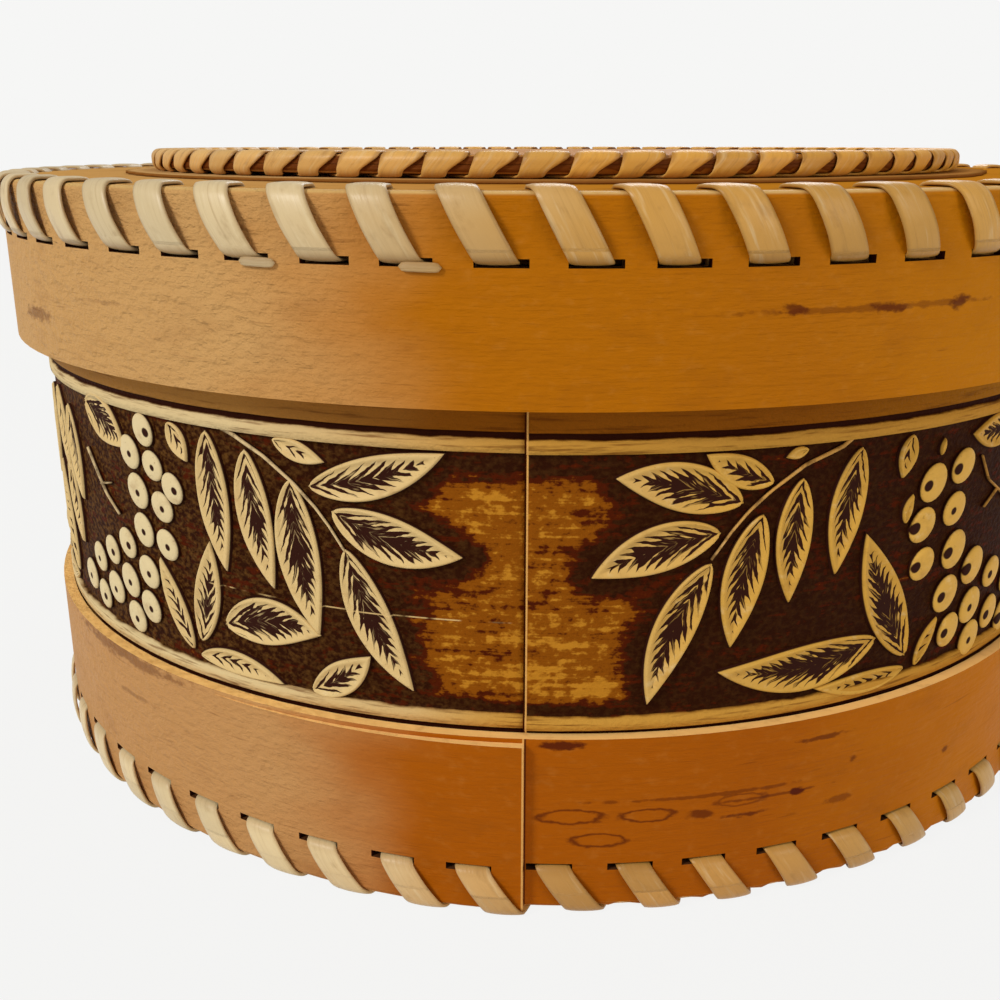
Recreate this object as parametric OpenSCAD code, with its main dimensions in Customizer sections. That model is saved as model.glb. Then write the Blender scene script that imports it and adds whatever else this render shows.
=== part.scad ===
// Round birch bark box with a lift-off lid. The hoops are whip-laced over their edges, the outer
// sleeve carries an embossed band of rowan leaves and berries, and a raised disc sits on the lid.
// Millimetres, +Z up. The origin is the middle of the surface that the box stands on, and the
// front of the box faces -Y. Angles are in degrees from the front, growing towards +X.

/* [Box body] */
// Inside radius of the box
cavity_r = 83.35; // [75:0.05:100]
// Thickness of the plain inner sleeve
wall_t = 1.3; // [0.8:0.1:2.5]
// Thickness of the embossed outer sleeve
band_t = 1.35; // [1:0.05:2.5]
// Height of the cavity, from the floor lining to the lid lining
cavity_h = 82.6; // [65:0.1:120]
// Thickness of the laminated base disc
base_t = 2.5; // [1.5:0.1:6]
// Thickness of the floor lining
floor_lining_t = 0.8; // [0.4:0.1:2]
// How far the outer sleeve's end stands proud at its seam
band_lap = 0.6; // [0.2:0.1:1]

/* [Embossed band] */
// Height of the lower edge of the pressed field
field_z = 26.8; // [26:0.1:30]
// Height of the pressed field
field_h = 33; // [30:0.5:36]
// Depth of the pressed field
field_d = 0.6; // [0.3:0.05:0.7]
// Width of the plain border line beside the field
border_w = 1.7; // [1:0.1:2.5]
// Width of the dark groove outside the border line
groove_w = 0.8; // [0.4:0.1:1.5]
// Depth of that groove
groove_d = 0.35; // [0.2:0.05:0.6]

/* [Bottom hoop] */
// Thickness of the hoop
hoop_t = 1.55; // [0.8:0.05:3]
// Height of the hoop's top edge above the table
hoop_top = 24.6; // [18:0.1:25]
// How much lower the outer end's top edge lies at the lap
hoop_lap_drop = 0.6; // [0.2:0.1:2]
// How far the outer end stands proud at its seam
hoop_lap = 1.2; // [0.6:0.1:2]
// Radius of the rounding of its laced lower edge
hoop_round = 0.9; // [0.3:0.1:1.2]

/* [Lid] */
// Play between the lid and the thickest place of the outer sleeve
lid_play = 0.65; // [0.4:0.05:1.5]
// Thickness of the lid's inner hoop
liner_t = 1.3; // [0.8:0.1:2.5]
// Thickness of the lid's skirt
skirt_t = 1.35; // [0.8:0.05:2.5]
// Height of the skirt
skirt_h = 23.1; // [18:0.1:30]
// How much shorter the inner hoop is than the skirt at the lower edge
liner_short = 1; // [0.5:0.1:4]
// Thickness of the lid's disc
lid_top_t = 1.3; // [0.8:0.1:3]
// Thickness of the lining under the lid's disc
lid_lining_t = 0.8; // [0.4:0.1:2]
// Radius of the rounding of the skirt's top edge
edge_round = 0.9; // [0.3:0.1:1.2]
// How far the skirt's outer end stands proud at its seam
skirt_lap = 0.7; // [0.3:0.1:1.2]

/* [Raised disc] */
// Radius of the raised disc's plies
disc_r = 67; // [50:0.5:72]
// Thickness of the lower ply
disc_back_t = 1.1; // [0.6:0.05:3]
// Thickness of the upper ply
disc_face_t = 1.15; // [0.6:0.05:3]
// Thickness of the thin sheet under the raised disc
underlay_t = 0.4; // [0.3:0.1:1]
// How far that sheet reaches past the raised disc
underlay_out = 5; // [1:0.5:8]
// Radius of the rounding of the plies' outer edges
disc_round = 0.8; // [0.3:0.1:0.9]

/* [Lacing] */
// Thickness of the pale lace
lace_t = 0.5; // [0.3:0.05:0.8]
// Width of the pale lace on the lid
lid_lace_w = 4.7; // [3:0.1:6]
// Width of the pale lace at the bottom
foot_lace_w = 4.6; // [3:0.1:6]
// Spacing of the stitches along the lid's edge
lid_pitch = 9.75; // [8.5:0.05:13]
// Spacing of the stitches along the bottom edge
foot_pitch = 10; // [8.5:0.05:13]
// Drop of the lid's lace slots below its top edge
lid_slot_drop = 7.3; // [5:0.1:9]
// Height of the bottom lace slots above the underside of the hoop
foot_slot_h = 6.1; // [5:0.1:9]
// Distance of the slots in the discs from the outer face that is laced
slot_inset = 4.3; // [4:0.1:6]
// How far a slot runs past the lace on the side that the lace leans away from
slot_extra = 1; // [0.4:0.1:1.6]
// Play of the lace at the slot's other end
slot_side = 0.2; // [0.2:0.05:0.5]
// Thickness of the brown strip round the raised disc
rim_lace_t = 0.35; // [0.2:0.05:0.6]
// Width of that strip on the raised disc's rim
rim_lace_w = 5.5; // [4:0.1:5.8]
// Width of that strip in its slots and where it turns in under the rim
rim_tuck_w = 3.3; // [2:0.1:3.8]
// Spacing of its stitches along the rim
rim_pitch = 6; // [5.9:0.05:9]
// How far in from its rim the raised disc is laced
rim_slot_inset = 3.6; // [3:0.1:6]
// Free play of hand-laced stitches, along the edge
lace_wander = 0.25; // [0:0.05:0.4]

/* [Fits] */
// Gap left by the glue between two bark layers
glue_gap = 0.05; // [0.02:0.01:0.1]
// Gap between the lace and the face it lies on
lace_gap = 0.1; // [0.08:0.01:0.15]
// Play of the lace in its slots, across its thickness
slot_play = 0.45; // [0.3:0.05:0.8]
// Gap between the inner sleeve's top edge and the lid's lining
seat_gap = 0.1; // [0.05:0.05:0.3]

/* [Hidden] */
$fn = 180;

// Colours of the bark and the lace
bark_inner = "#C9A06A";
bark_amber = "#B87522";
bark_board = "#A9804F";
lace_pale = "#D8C594";
strip_gold = "#C08A3C";

// Radii, from the cavity outwards
wall_r = cavity_r + wall_t;
band_in = wall_r + glue_gap;
band_r = band_in + band_t;
hoop_in = band_r + glue_gap;
hoop_r = hoop_in + hoop_t;
liner_in = band_r + band_lap + lid_play;
liner_r = liner_in + liner_t;
skirt_in = liner_r + glue_gap;
skirt_r = skirt_in + skirt_t;

// Heights, from the table upwards
foot_z = lace_t + lace_gap;
base_top = foot_z + base_t;
floor_z = base_top + glue_gap;
floor_top = floor_z + floor_lining_t;
lining_z = floor_top + cavity_h;
wall_top = lining_z - seat_gap;
lid_disc_z = lining_z + lid_lining_t + glue_gap;
lid_z = lid_disc_z + lid_top_t;
skirt_top = lid_z - glue_gap;
skirt_z = skirt_top - skirt_h;
liner_z = skirt_z + liner_short;
underlay_z = lid_z + glue_gap;
pad_z = underlay_z + underlay_t + glue_gap;
pad_t = rim_lace_t + lace_gap;
back_z = pad_z + pad_t + glue_gap;
face_z = back_z + disc_back_t + glue_gap;
face_top = face_z + disc_face_t;

// Roundings, kept within their walls
skirt_edge = min(edge_round, skirt_t * 0.8);
hoop_edge = min(hoop_round, hoop_t * 0.8);
face_edge = min(disc_round, disc_face_t * 0.8);
back_edge = min(disc_round, disc_back_t * 0.8);

// Lace slots
lid_slot_z = skirt_top - lid_slot_drop;
foot_slot_z = foot_z + foot_slot_h;
slot_h = lace_t + slot_play;
lid_slot_r = skirt_r - slot_inset;
foot_slot_r = wall_r - slot_inset / 2;
rim_slot_r = disc_r - rim_slot_inset;
rim_slot_w = rim_lace_t + slot_play;
band_top = lid_slot_z - slot_h / 2 - lace_gap;

// Seams: the body's seam is a little left of the front, the skirt's is round the back
body_seam = -3.85;
band_lap_end = 26;
hoop_lap_end = -34;
skirt_seam = 122;
skirt_lap_end = 152;

// Stitches round each edge, and the angle of the first of them at its slot. From there the foot
// lace runs towards growing angles, and the lid's and the disc's the other way
lid_stitches = 2 * round(PI * skirt_r / lid_pitch);
foot_stitches = round(2 * PI * hoop_r / foot_pitch);
rim_stitches = 2 * round(PI * disc_r / rim_pitch);
lid_a0 = -5.85;
foot_a0 = -1.55;
rim_a0 = -2.2;

// ---------------------------------------------------------------- helpers

// Turns a shape drawn at +X, y = 0 to an angle counted from the front
module at_angle(a) rotate([0, 0, a - 90]) children();

// Tube between two radii
module tube(r_out, r_in, z0, z1) {
    translate([0, 0, z0]) difference() {
        cylinder(r = r_out, h = z1 - z0);
        translate([0, 0, -1]) cylinder(r = r_in, h = z1 - z0 + 2);
    }
}

// Half section of a ring between two radii, whose outer edge at z_round is rounded
module rounded_section(r_in, r_out, z_square, z_round, edge) {
    up = z_round > z_square;
    z_edge = up ? z_round - edge : z_round + edge;
    translate([r_in, min(z_square, z_edge)]) square([r_out - r_in, abs(z_edge - z_square)]);
    translate([r_in, min(z_edge, z_round)]) square([r_out - edge - r_in, edge]);
    translate([r_out - edge, z_edge]) intersection() {
        circle(r = edge);
        translate([0, up ? 0 : -edge]) square(edge);
    }
}

// Flat disc
module disc(r, z0, z1) translate([0, 0, z0]) cylinder(r = r, h = z1 - z0);

// Radial offset of the centre of a lap: a circle of the sleeve's own radius, moved this far along
// lap_way(), stands proud by the lap at the seam and runs into the sleeve at the lap's end
function lap_shift(lap, seam, end) = lap / cos(lap_way(seam, end) - seam);
function lap_way(seam, end) = end + (seam < end ? -90 : 90);
// How far the lap stands proud at an angle
function lap_at(a, lap, seam, end) =
    let (b = a - 360 * round((a - (seam + end) / 2) / 360))
    (b - seam) * (b - end) > 0 ? 0 : lap_shift(lap, seam, end) * cos(b - lap_way(seam, end));

// Wedge between two angles, taller than the box
module wedge(a0, a1) {
    reach = 3 * skirt_r;
    mid = (a0 + a1) / 2;
    half = abs(a1 - a0) / 2;
    at_angle(mid) translate([0, 0, -reach / 2]) linear_extrude(reach)
        polygon([[0, 0], [reach * cos(half), -reach * sin(half)], [reach * cos(half), reach * sin(half)]]);
}

// The lapped end stops this many degrees before it would run into the sleeve, as a thin edge
lap_feather = 2;

// The lapped end of a sleeve: the sleeve moved outwards, kept only between seam and end
module lapped_end(lap, seam, end) {
    way = lap_way(seam, end) - 90;
    intersection() {
        wedge(seam, end - sign(end - seam) * lap_feather);
        rotate([0, 0, way]) translate([lap_shift(lap, seam, end), 0, 0]) rotate([0, 0, -way]) children();
    }
}

// Angle of the n-th stitch at its slot, with the small irregularity of hand work, and the angle
// where the lace has gone a share of the way to the next slot
function wander(n) = lace_wander * (sin(137 * n) + sin(61 * n + 40)) / 2;
function stitch_angle(n, count, a0) = a0 + n * 360 / count + wander((n + count) % count);
function lace_angle(n, share, side, count, a0) =
    let (here = stitch_angle(side * n, count, a0), next = stitch_angle(side * (n + 1), count, a0))
    here + (next - here) * share;

// Ring of level slots through sleeves
module sleeve_slots(count, a0, side, r_in, r_out, z, w) {
    length = w + slot_extra + slot_side;
    for (n = [0 : count - 1])
        at_angle(lace_angle(n, 0, side, count, a0))
            translate([r_in, -length / 2 - side * (slot_extra - slot_side) / 2, z - slot_h / 2])
                cube([r_out - r_in, length, slot_h]);
}

// Ring of flat slots through discs, where the lace has gone a share of its way
module disc_slots(count, a0, side, share, r, slot_w, z0, z1, w) {
    for (n = [0 : count - 1])
        at_angle(lace_angle(n, share, side, count, a0))
            translate([r - slot_w / 2, -(w + slot_extra) / 2, z0])
                cube([slot_w, w + slot_extra, z1 - z0]);
}

// ---------------------------------------------------------------- lace
// A lace runs round and round an edge. One turn is a list of points
// [radius, height, share of a stitch gone by, width]. rings() repeats the turn for every stitch,
// places each point at its angle, and adds what the lap below stands proud. The four corners of a
// ring lie half a width along the edge and half a thickness along the turn's own mitred normal.

function unit(v) = v / norm(v);
function left_of(v) = [-v[1], v[0]];
function rz(p) = [p[0], p[1]];
function mitre(before, here, after) =
    let (n0 = left_of(unit(here - before)), n1 = left_of(unit(after - here)), m = unit(n0 + n1))
    m / (m * n0);
function turn_mitre(turn, j) =
    let (m = len(turn))
    mitre(rz(turn[(j + m - 1) % m]), rz(turn[j]), rz(turn[(j + 1) % m]));

function ring(a, r, z, w, t, m) =
    let (out = [sin(a), -cos(a)], along = [cos(a), sin(a)])
    [for (s = [[-1, -1], [1, -1], [1, 1], [-1, 1]])
        let (rr = r + s[1] * t / 2 * m[0], zz = z + s[1] * t / 2 * m[1], q = out * rr + along * (s[0] * w / 2))
        [q[0], q[1], zz]];

// A lace that goes round a rounded edge keeps its distance from it. Its centre line would meet at a
// square corner, which is cut off this far back along both faces where one slanting piece goes round
// the edge. Where two do, the cut is deeper and a middle point lies nearer the corner.
function bend_r(edge, t) = edge + lace_gap + t / 2;
function cut_one(edge, t) = bend_r(edge, t) * (1 - tan(22.5));
function cut_two(edge, t) = bend_r(edge, t) * (1 - tan(15));
function cut_mid(edge, t) = bend_r(edge, t) * (1 - cos(45) / cos(15));

// side is +1 where the lace runs towards growing angles, and -1 the other way
function lace_rings(turn, count, a0, side, t, lap, seam, lap_end, face_r) =
    [for (n = [0 : count - 1], j = [0 : len(turn) - 1])
        let (
            p = turn[j],
            a = lace_angle(n, p[2], side, count, a0),
            proud = p[0] > face_r - 1 ? lap_at(a, lap, seam, lap_end) : 0
        )
        ring(a, p[0] + proud, p[1], p[3], t, turn_mitre(turn, j))];

// The swept lace, with both ends closed flat
module lace(rings) {
    m = len(rings);
    points = [for (r = rings, p = r) p];
    sides = [for (i = [0 : m - 2], k = [0 : 3])
        let (a = 4 * i + k, b = 4 * i + (k + 1) % 4, c = b + 4, d = a + 4)
        each [[a, c, b], [a, d, c]]];
    ends = [[0, 1, 2], [0, 2, 3], [4 * m - 4, 4 * m - 2, 4 * m - 3], [4 * m - 4, 4 * m - 1, 4 * m - 2]];
    polyhedron(points, concat(sides, ends));
}

// How deep in its slot a turn starts, and how far from the slot's middle it is straight again
slot_depth = 0.6;
slot_lift = 0.3;

// Over the lid's top edge: out of the skirt's slot, up, over, down through the disc, back inside
lid_face_r = skirt_r + lace_gap + lace_t / 2;
lid_over_z = lid_z + lace_gap + lace_t / 2;
lid_down = 0.5;
lid_cut = cut_two(skirt_edge, lace_t);
lid_mid = cut_mid(skirt_edge, lace_t);
lid_turn = [
    [skirt_r - slot_depth, lid_slot_z, 0, lid_lace_w],
    [lid_face_r, lid_slot_z + slot_lift, 0.02, lid_lace_w],
    [lid_face_r, lid_over_z - lid_cut, 0.36, lid_lace_w],
    [lid_face_r - lid_mid, lid_over_z - lid_mid, 0.40, lid_lace_w],
    [lid_face_r - lid_cut, lid_over_z, 0.43, lid_lace_w],
    [lid_slot_r + slot_lift, lid_over_z, lid_down, lid_lace_w],
    [lid_slot_r, lid_over_z - slot_lift, lid_down, lid_lace_w],
    [lid_slot_r, lid_disc_z - slot_lift, lid_down, lid_lace_w],
    [liner_in - lace_gap - lace_t / 2, lid_slot_z, 0.98, lid_lace_w]
];
// Two lace ends show below the slots of these stitches, counted leftwards from the front one
tucked_stitches = [1, 3];
tuck_h = 1.1;

// Under the bottom edge: out of the hoop's slot, down, under, up through the base, back inside
foot_face_r = hoop_r + lace_gap + lace_t / 2;
foot_up = 0.62;
foot_tuck_w = foot_lace_w * 0.9;
foot_cut = cut_one(hoop_edge, lace_t);
foot_turn = [
    [hoop_r - slot_depth, foot_slot_z, 0, foot_tuck_w],
    [foot_face_r, foot_slot_z - slot_lift, 0.02, foot_tuck_w],
    [foot_face_r, lace_t / 2 + foot_cut, 0.38, foot_lace_w],
    [foot_face_r - foot_cut, lace_t / 2, 0.43, foot_lace_w],
    [foot_slot_r + slot_lift, lace_t / 2, foot_up, foot_lace_w],
    [foot_slot_r, lace_t / 2 + slot_lift, foot_up, foot_lace_w],
    [foot_slot_r, base_top + slot_lift, foot_up, foot_lace_w],
    [cavity_r - lace_gap - lace_t / 2, foot_slot_z, 0.98, foot_tuck_w]
];

// Round the raised disc's rim: up through the plies, out over the face, down the rim, back under
rim_face_r = disc_r + lace_gap + rim_lace_t / 2;
rim_over_z = face_top + lace_gap + rim_lace_t / 2;
rim_under_z = back_z - lace_gap - rim_lace_t / 2;
over_cut = cut_one(face_edge, rim_lace_t);
under_cut = cut_one(back_edge, rim_lace_t);
rim_turn = [
    [rim_slot_r, face_top - slot_lift, 0, rim_tuck_w],
    [rim_slot_r + slot_lift, rim_over_z, 0.02, rim_tuck_w],
    [rim_face_r - over_cut, rim_over_z, 0.10, rim_lace_w],
    [rim_face_r, rim_over_z - over_cut, 0.12, rim_lace_w],
    [rim_face_r, rim_under_z + under_cut, 0.38, rim_tuck_w],
    [rim_face_r - under_cut, rim_under_z, 0.42, rim_tuck_w],
    [rim_slot_r + slot_lift, rim_under_z, 0.98, rim_tuck_w],
    [rim_slot_r, back_z + slot_lift, 1, rim_tuck_w]
];

// ---------------------------------------------------------------- relief
// A leaf is [foot along the band, foot height, tip along the band, tip height, width] and a berry
// is [place along the band, height]. Places along the band are millimetres from the middle of the
// plain zone between two sprays, and heights are from the middle of the pressed field.
near_leaves = [
    [25, 9.5, 10, 14, 6], [23, 7.5, 7.5, 3, 6.5], [22, 3.5, 14, -14.5, 5.5],
    [28, 9, 25, -8, 5.5], [33, 12, 32, -3, 5], [41, 14.5, 39, -1, 5],
    [43, -9.5, 24, -10.5, 7], [49, -15, 33, -16, 4], [50, -14.5, 43.5, 3, 5], [54, -15.5, 57.5, -8.5, 3.5],
    [49, 15.5, 48, 10.5, 3]
];
far_leaves = [
    [110, 9.5, 125, 14, 6], [112, 7.5, 127.5, 3, 6.5], [113, 3.5, 121, -14.5, 5.5],
    [107, 9, 110, -8, 5.5], [102, 12, 103, -3, 5], [94, 14.5, 95, -1, 5],
    [92, -9.5, 111, -10.5, 7], [86, -15, 102, -16, 4], [85, -14, 91.5, 3, 5], [71, 15, 83, 9, 6]
];
berries = [
    [55, 14.5], [59.5, 12], [54.5, 10], [50.5, 8.5], [58.5, 7], [63.5, 9.5], [53.5, 5.5], [57.5, 2.5],
    [62, 4.5], [52.5, 1], [67, 5.5], [56.5, -2], [61, 0], [65.5, 0.5], [70.5, 1.5], [60, -5], [64.5, -4],
    [69, -3.5], [74, -3], [61.5, -9.5], [66.5, -8.5], [71.5, -8], [76, -8], [68, -13], [73, -12.5]
];
berry_w = 4.2;
// Strip of bare field between the relief and the borders
relief_edge = 0.2;
// Four patterns go round the band, each drawn for the length below
pattern_l = 2 * PI * band_r / 4;
drawn_l = 135;

// Lens outline from foot to tip: two arcs of one circle
module lens(length, width) {
    arc_r = (length * length + width * width) / (4 * width);
    intersection() {
        translate([0, arc_r - width / 2]) circle(r = arc_r);
        translate([0, width / 2 - arc_r]) circle(r = arc_r);
    }
}

// Draws a flat outline on the band, pressed out radially, at a place along the band
module on_band(along, z) {
    at_angle(body_seam + along / band_r * 180 / PI) translate([band_in + band_t / 4, 0, z])
        rotate([90, 0, 90]) linear_extrude(band_t + band_lap) children();
}

module leaf_stamp(leaf, stretch, way) {
    dx = way * (leaf[2] - leaf[0]);
    dz = leaf[3] - leaf[1];
    on_band(way * (leaf[0] + leaf[2]) / 2 * stretch, field_z + field_h / 2 + (leaf[1] + leaf[3]) / 2)
        rotate(atan2(dz, dx)) lens(norm([dx, dz]), leaf[4]);
}

module spray(way) {
    stretch = pattern_l / drawn_l;
    for (leaf = concat(near_leaves, far_leaves)) leaf_stamp(leaf, stretch, way);
    for (berry = berries)
        on_band(way * berry[0] * stretch, field_z + field_h / 2 + berry[1]) circle(d = berry_w);
}

// The raised leaves and berries, cut to the pressed field and level with the borders. Each pattern
// is the mirror image of the next one
module relief_layer()
    tube(band_r, band_r - field_d - band_t / 8, field_z + relief_edge, field_z + field_h - relief_edge);

module relief() {
    intersection() {
        union() {
            relief_layer();
            lapped_end(band_lap, body_seam, band_lap_end) relief_layer();
        }
        for (half = [0, 180], way = [-1, 1]) rotate([0, 0, half]) spray(way);
    }
}

// Half section of the outer sleeve, with its pressed field and the grooves outside its borders
module band_section() {
    low_groove = field_z - border_w - groove_w;
    high_groove = field_z + field_h + border_w;
    polygon([
        [band_in, floor_z], [band_r, floor_z],
        [band_r, low_groove], [band_r - groove_d, low_groove],
        [band_r - groove_d, low_groove + groove_w], [band_r, low_groove + groove_w],
        [band_r, field_z], [band_r - field_d, field_z],
        [band_r - field_d, field_z + field_h], [band_r, field_z + field_h],
        [band_r, high_groove], [band_r - groove_d, high_groove],
        [band_r - groove_d, high_groove + groove_w], [band_r, high_groove + groove_w],
        [band_r, band_top], [band_in, band_top]
    ]);
}

// ---------------------------------------------------------------- body pieces

module foot_slots()
    sleeve_slots(foot_stitches, foot_a0, 1, cavity_r - 1, hoop_r + hoop_lap + 1, foot_slot_z, foot_lace_w);

module base_disc() color(bark_board) difference() {
    disc(band_r, foot_z, base_top);
    disc_slots(foot_stitches, foot_a0, 1, foot_up, foot_slot_r, slot_h, foot_z - 1, base_top + 1, foot_lace_w);
}

module floor_lining() color(bark_inner)
    disc(foot_slot_r - slot_h / 2 - lace_gap, floor_z, floor_top);

module inner_wall() color(bark_inner) difference() {
    tube(wall_r, cavity_r, floor_z, wall_top);
    foot_slots();
}

// The sleeve's lapped end stands proud above the hoop, which presses it flat lower down
module embossed_band() color(bark_amber) difference() {
    union() {
        rotate_extrude() band_section();
        lapped_end(band_lap, body_seam, band_lap_end) rotate_extrude() intersection() {
            band_section();
            translate([0, hoop_top + glue_gap]) square([skirt_r, cavity_h]);
        }
        relief();
    }
    foot_slots();
}

module bottom_hoop() color(bark_amber) difference() {
    union() {
        rotate_extrude() rounded_section(hoop_in, hoop_r, hoop_top, foot_z, hoop_edge);
        lapped_end(hoop_lap, body_seam, hoop_lap_end)
            rotate_extrude() rounded_section(hoop_in, hoop_r, hoop_top - hoop_lap_drop, foot_z, hoop_edge);
    }
    foot_slots();
}

module bottom_lacing() color(lace_pale)
    lace(lace_rings(foot_turn, foot_stitches, foot_a0, 1, lace_t, hoop_lap, body_seam, hoop_lap_end, hoop_r));

// ---------------------------------------------------------------- lid pieces

module lid_slots()
    sleeve_slots(lid_stitches, lid_a0, -1, liner_in - 1, skirt_r + skirt_lap + 1, lid_slot_z, lid_lace_w);

module lid_hoop() color(bark_amber) difference() {
    union() {
        rotate_extrude() rounded_section(skirt_in, skirt_r, skirt_z, skirt_top, skirt_edge);
        lapped_end(skirt_lap, skirt_seam, skirt_lap_end)
            tube(skirt_r, skirt_in, skirt_z, skirt_top - skirt_edge);
    }
    lid_slots();
}

module lid_liner() color(bark_inner) difference() {
    tube(liner_r, liner_in, liner_z, lid_disc_z - glue_gap);
    lid_slots();
}

module lid_top() color(bark_inner) difference() {
    disc(liner_r, lid_disc_z, lid_z);
    disc_slots(lid_stitches, lid_a0, -1, lid_down, lid_slot_r, slot_h, lid_disc_z - 1, lid_z + 1, lid_lace_w);
}

module lid_lining() color(bark_inner)
    disc(lid_slot_r - slot_h / 2 - lace_gap, lining_z, lining_z + lid_lining_t);

// An end of the lace, tucked in flat below the slot of a stitch
module lace_tuck(n)
    at_angle(lace_angle(n, 0, -1, lid_stitches, lid_a0))
        translate([skirt_r + lace_gap, -lid_lace_w / 2, lid_slot_z - slot_h / 2 - tuck_h])
            cube([lace_t, lid_lace_w, tuck_h]);

module lid_lacing() color(lace_pale) {
    lace(lace_rings(lid_turn, lid_stitches, lid_a0, -1, lace_t, skirt_lap, skirt_seam, skirt_lap_end, skirt_r));
    for (n = tucked_stitches) lace_tuck(n);
}

module lid_underlay() color(bark_inner) disc(disc_r + underlay_out, underlay_z, underlay_z + underlay_t);

module disc_pad() color(bark_inner) disc(rim_slot_r - rim_slot_w, pad_z, pad_z + pad_t);

module rim_slots()
    disc_slots(rim_stitches, rim_a0, -1, 0, rim_slot_r, rim_slot_w, back_z - 1, face_top + 1, rim_tuck_w);

module raised_disc_back() color(bark_inner) difference() {
    rotate_extrude() rounded_section(0, disc_r, back_z + disc_back_t, back_z, back_edge);
    rim_slots();
}

module raised_disc_face() color(bark_amber) difference() {
    rotate_extrude() rounded_section(0, disc_r, face_z, face_top, face_edge);
    rim_slots();
}

module raised_disc_lacing() color(strip_gold)
    lace(lace_rings(rim_turn, rim_stitches, rim_a0, -1, rim_lace_t, 0, 0, 1, disc_r));

base_disc();
floor_lining();
inner_wall();
embossed_band();
bottom_hoop();
bottom_lacing();
lid_hoop();
lid_liner();
lid_top();
lid_lining();
lid_lacing();
lid_underlay();
disc_pad();
raised_disc_back();
raised_disc_face();
raised_disc_lacing();
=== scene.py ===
"""Looks of a round birch bark box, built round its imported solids.

The box is laminated from birch bark with the smooth inner side outwards. Its hoops are laced over
their edges with split bast, and the sleeve between them is embossed with rowan leaves and berries.
Lengths are millimetres, z is the height above the table, and angles are degrees from the front of
the box, growing towards +X, unless a name or a docstring says otherwise.
"""

import logging
import math
from dataclasses import dataclass
from enum import Enum
from functools import cached_property

import bpy
import numpy as np
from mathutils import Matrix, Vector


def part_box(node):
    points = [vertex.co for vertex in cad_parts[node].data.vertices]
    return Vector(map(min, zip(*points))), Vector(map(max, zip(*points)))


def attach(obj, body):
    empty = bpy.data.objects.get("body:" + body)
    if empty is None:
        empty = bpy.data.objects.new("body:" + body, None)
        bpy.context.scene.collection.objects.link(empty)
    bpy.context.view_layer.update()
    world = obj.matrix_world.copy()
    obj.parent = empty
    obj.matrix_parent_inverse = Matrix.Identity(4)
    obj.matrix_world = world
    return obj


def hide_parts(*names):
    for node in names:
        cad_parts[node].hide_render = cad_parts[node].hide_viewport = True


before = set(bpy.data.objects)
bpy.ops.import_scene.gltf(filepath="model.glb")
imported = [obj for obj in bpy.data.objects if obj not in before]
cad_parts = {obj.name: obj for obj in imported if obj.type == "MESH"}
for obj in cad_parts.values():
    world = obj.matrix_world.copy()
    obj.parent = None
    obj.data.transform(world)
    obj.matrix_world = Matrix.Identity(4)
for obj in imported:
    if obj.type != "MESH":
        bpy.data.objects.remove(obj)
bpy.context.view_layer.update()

LOG = logging.getLogger("bark_box")
MM = 0.001
COLOURS = {"out": 2, "data_type": "RGBA"}
SOFT = {"interpolation_type": "SMOOTHSTEP"}
MULTIPLY = {"operation": "MULTIPLY"}
MULTIPLY_ADD = {"operation": "MULTIPLY_ADD"}
BARK_IOR = 1.5
# Centre and spread, in mm along x, of the front where a skin's right tone takes over; that tone is
# part of the painted side light
RIGHT_TURN = (42.0, 22.0)
Socket = bpy.types.NodeSocket


# ------------------------------------------------------------------ small tools


def linear(code: str) -> tuple[float, float, float, float]:
    """Turns an sRGB hex colour into linear RGBA.

    Args:
        code: the colour, such as "#C49A5E".

    Returns:
        Red, green, blue and an alpha of 1.
    """
    parts = [int(code[i : i + 2], 16) / 255 for i in (1, 3, 5)]
    flat = [c / 12.92 if c <= 0.04045 else ((c + 0.055) / 1.055) ** 2.4 for c in parts]
    return (*flat, 1.0)


def smoothstep(value: np.ndarray, low: float, high: float) -> np.ndarray:
    """Rises from 0 at low to 1 at high, as 3 t^2 - 2 t^3.

    Args:
        value: the values to map.
        low: where the rise starts.
        high: where it ends.

    Returns:
        The mapped values.
    """
    t = np.clip((value - low) / (high - low), 0, 1)
    return t * t * (3 - 2 * t)


def ripple(place: np.ndarray, seed: int, lowest: int, highest: int) -> np.ndarray:
    """Sum of cosines of whole turns with random phases, so that it closes round a circle.

    Args:
        place: angles in degrees.
        seed: picks the phases.
        lowest: fewest waves round the circle.
        highest: most waves round the circle.

    Returns:
        Values that stay roughly between -1 and 1.
    """
    draw = np.random.default_rng(seed)
    waves = np.arange(lowest, highest + 1)
    phase = draw.uniform(0, 2 * np.pi, len(waves))
    size = draw.uniform(0.4, 1, len(waves))
    total = (np.cos(np.radians(place)[..., None] * waves + phase) * size).sum(-1)
    return total / np.sqrt((size**2).sum() / 2) / 2


def on_axis(angle: np.ndarray, radius: np.ndarray, height: np.ndarray) -> np.ndarray:
    """Places points round the box's axis: x = r sin a, y = -r cos a, z = height.

    Args:
        angle: degrees from the front.
        radius: distance from the axis.
        height: height above the table.

    Returns:
        Points, with x, y and z in the last axis.
    """
    a = np.radians(angle)
    return np.stack([radius * np.sin(a), -radius * np.cos(a), height + 0 * a], -1)


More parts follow.
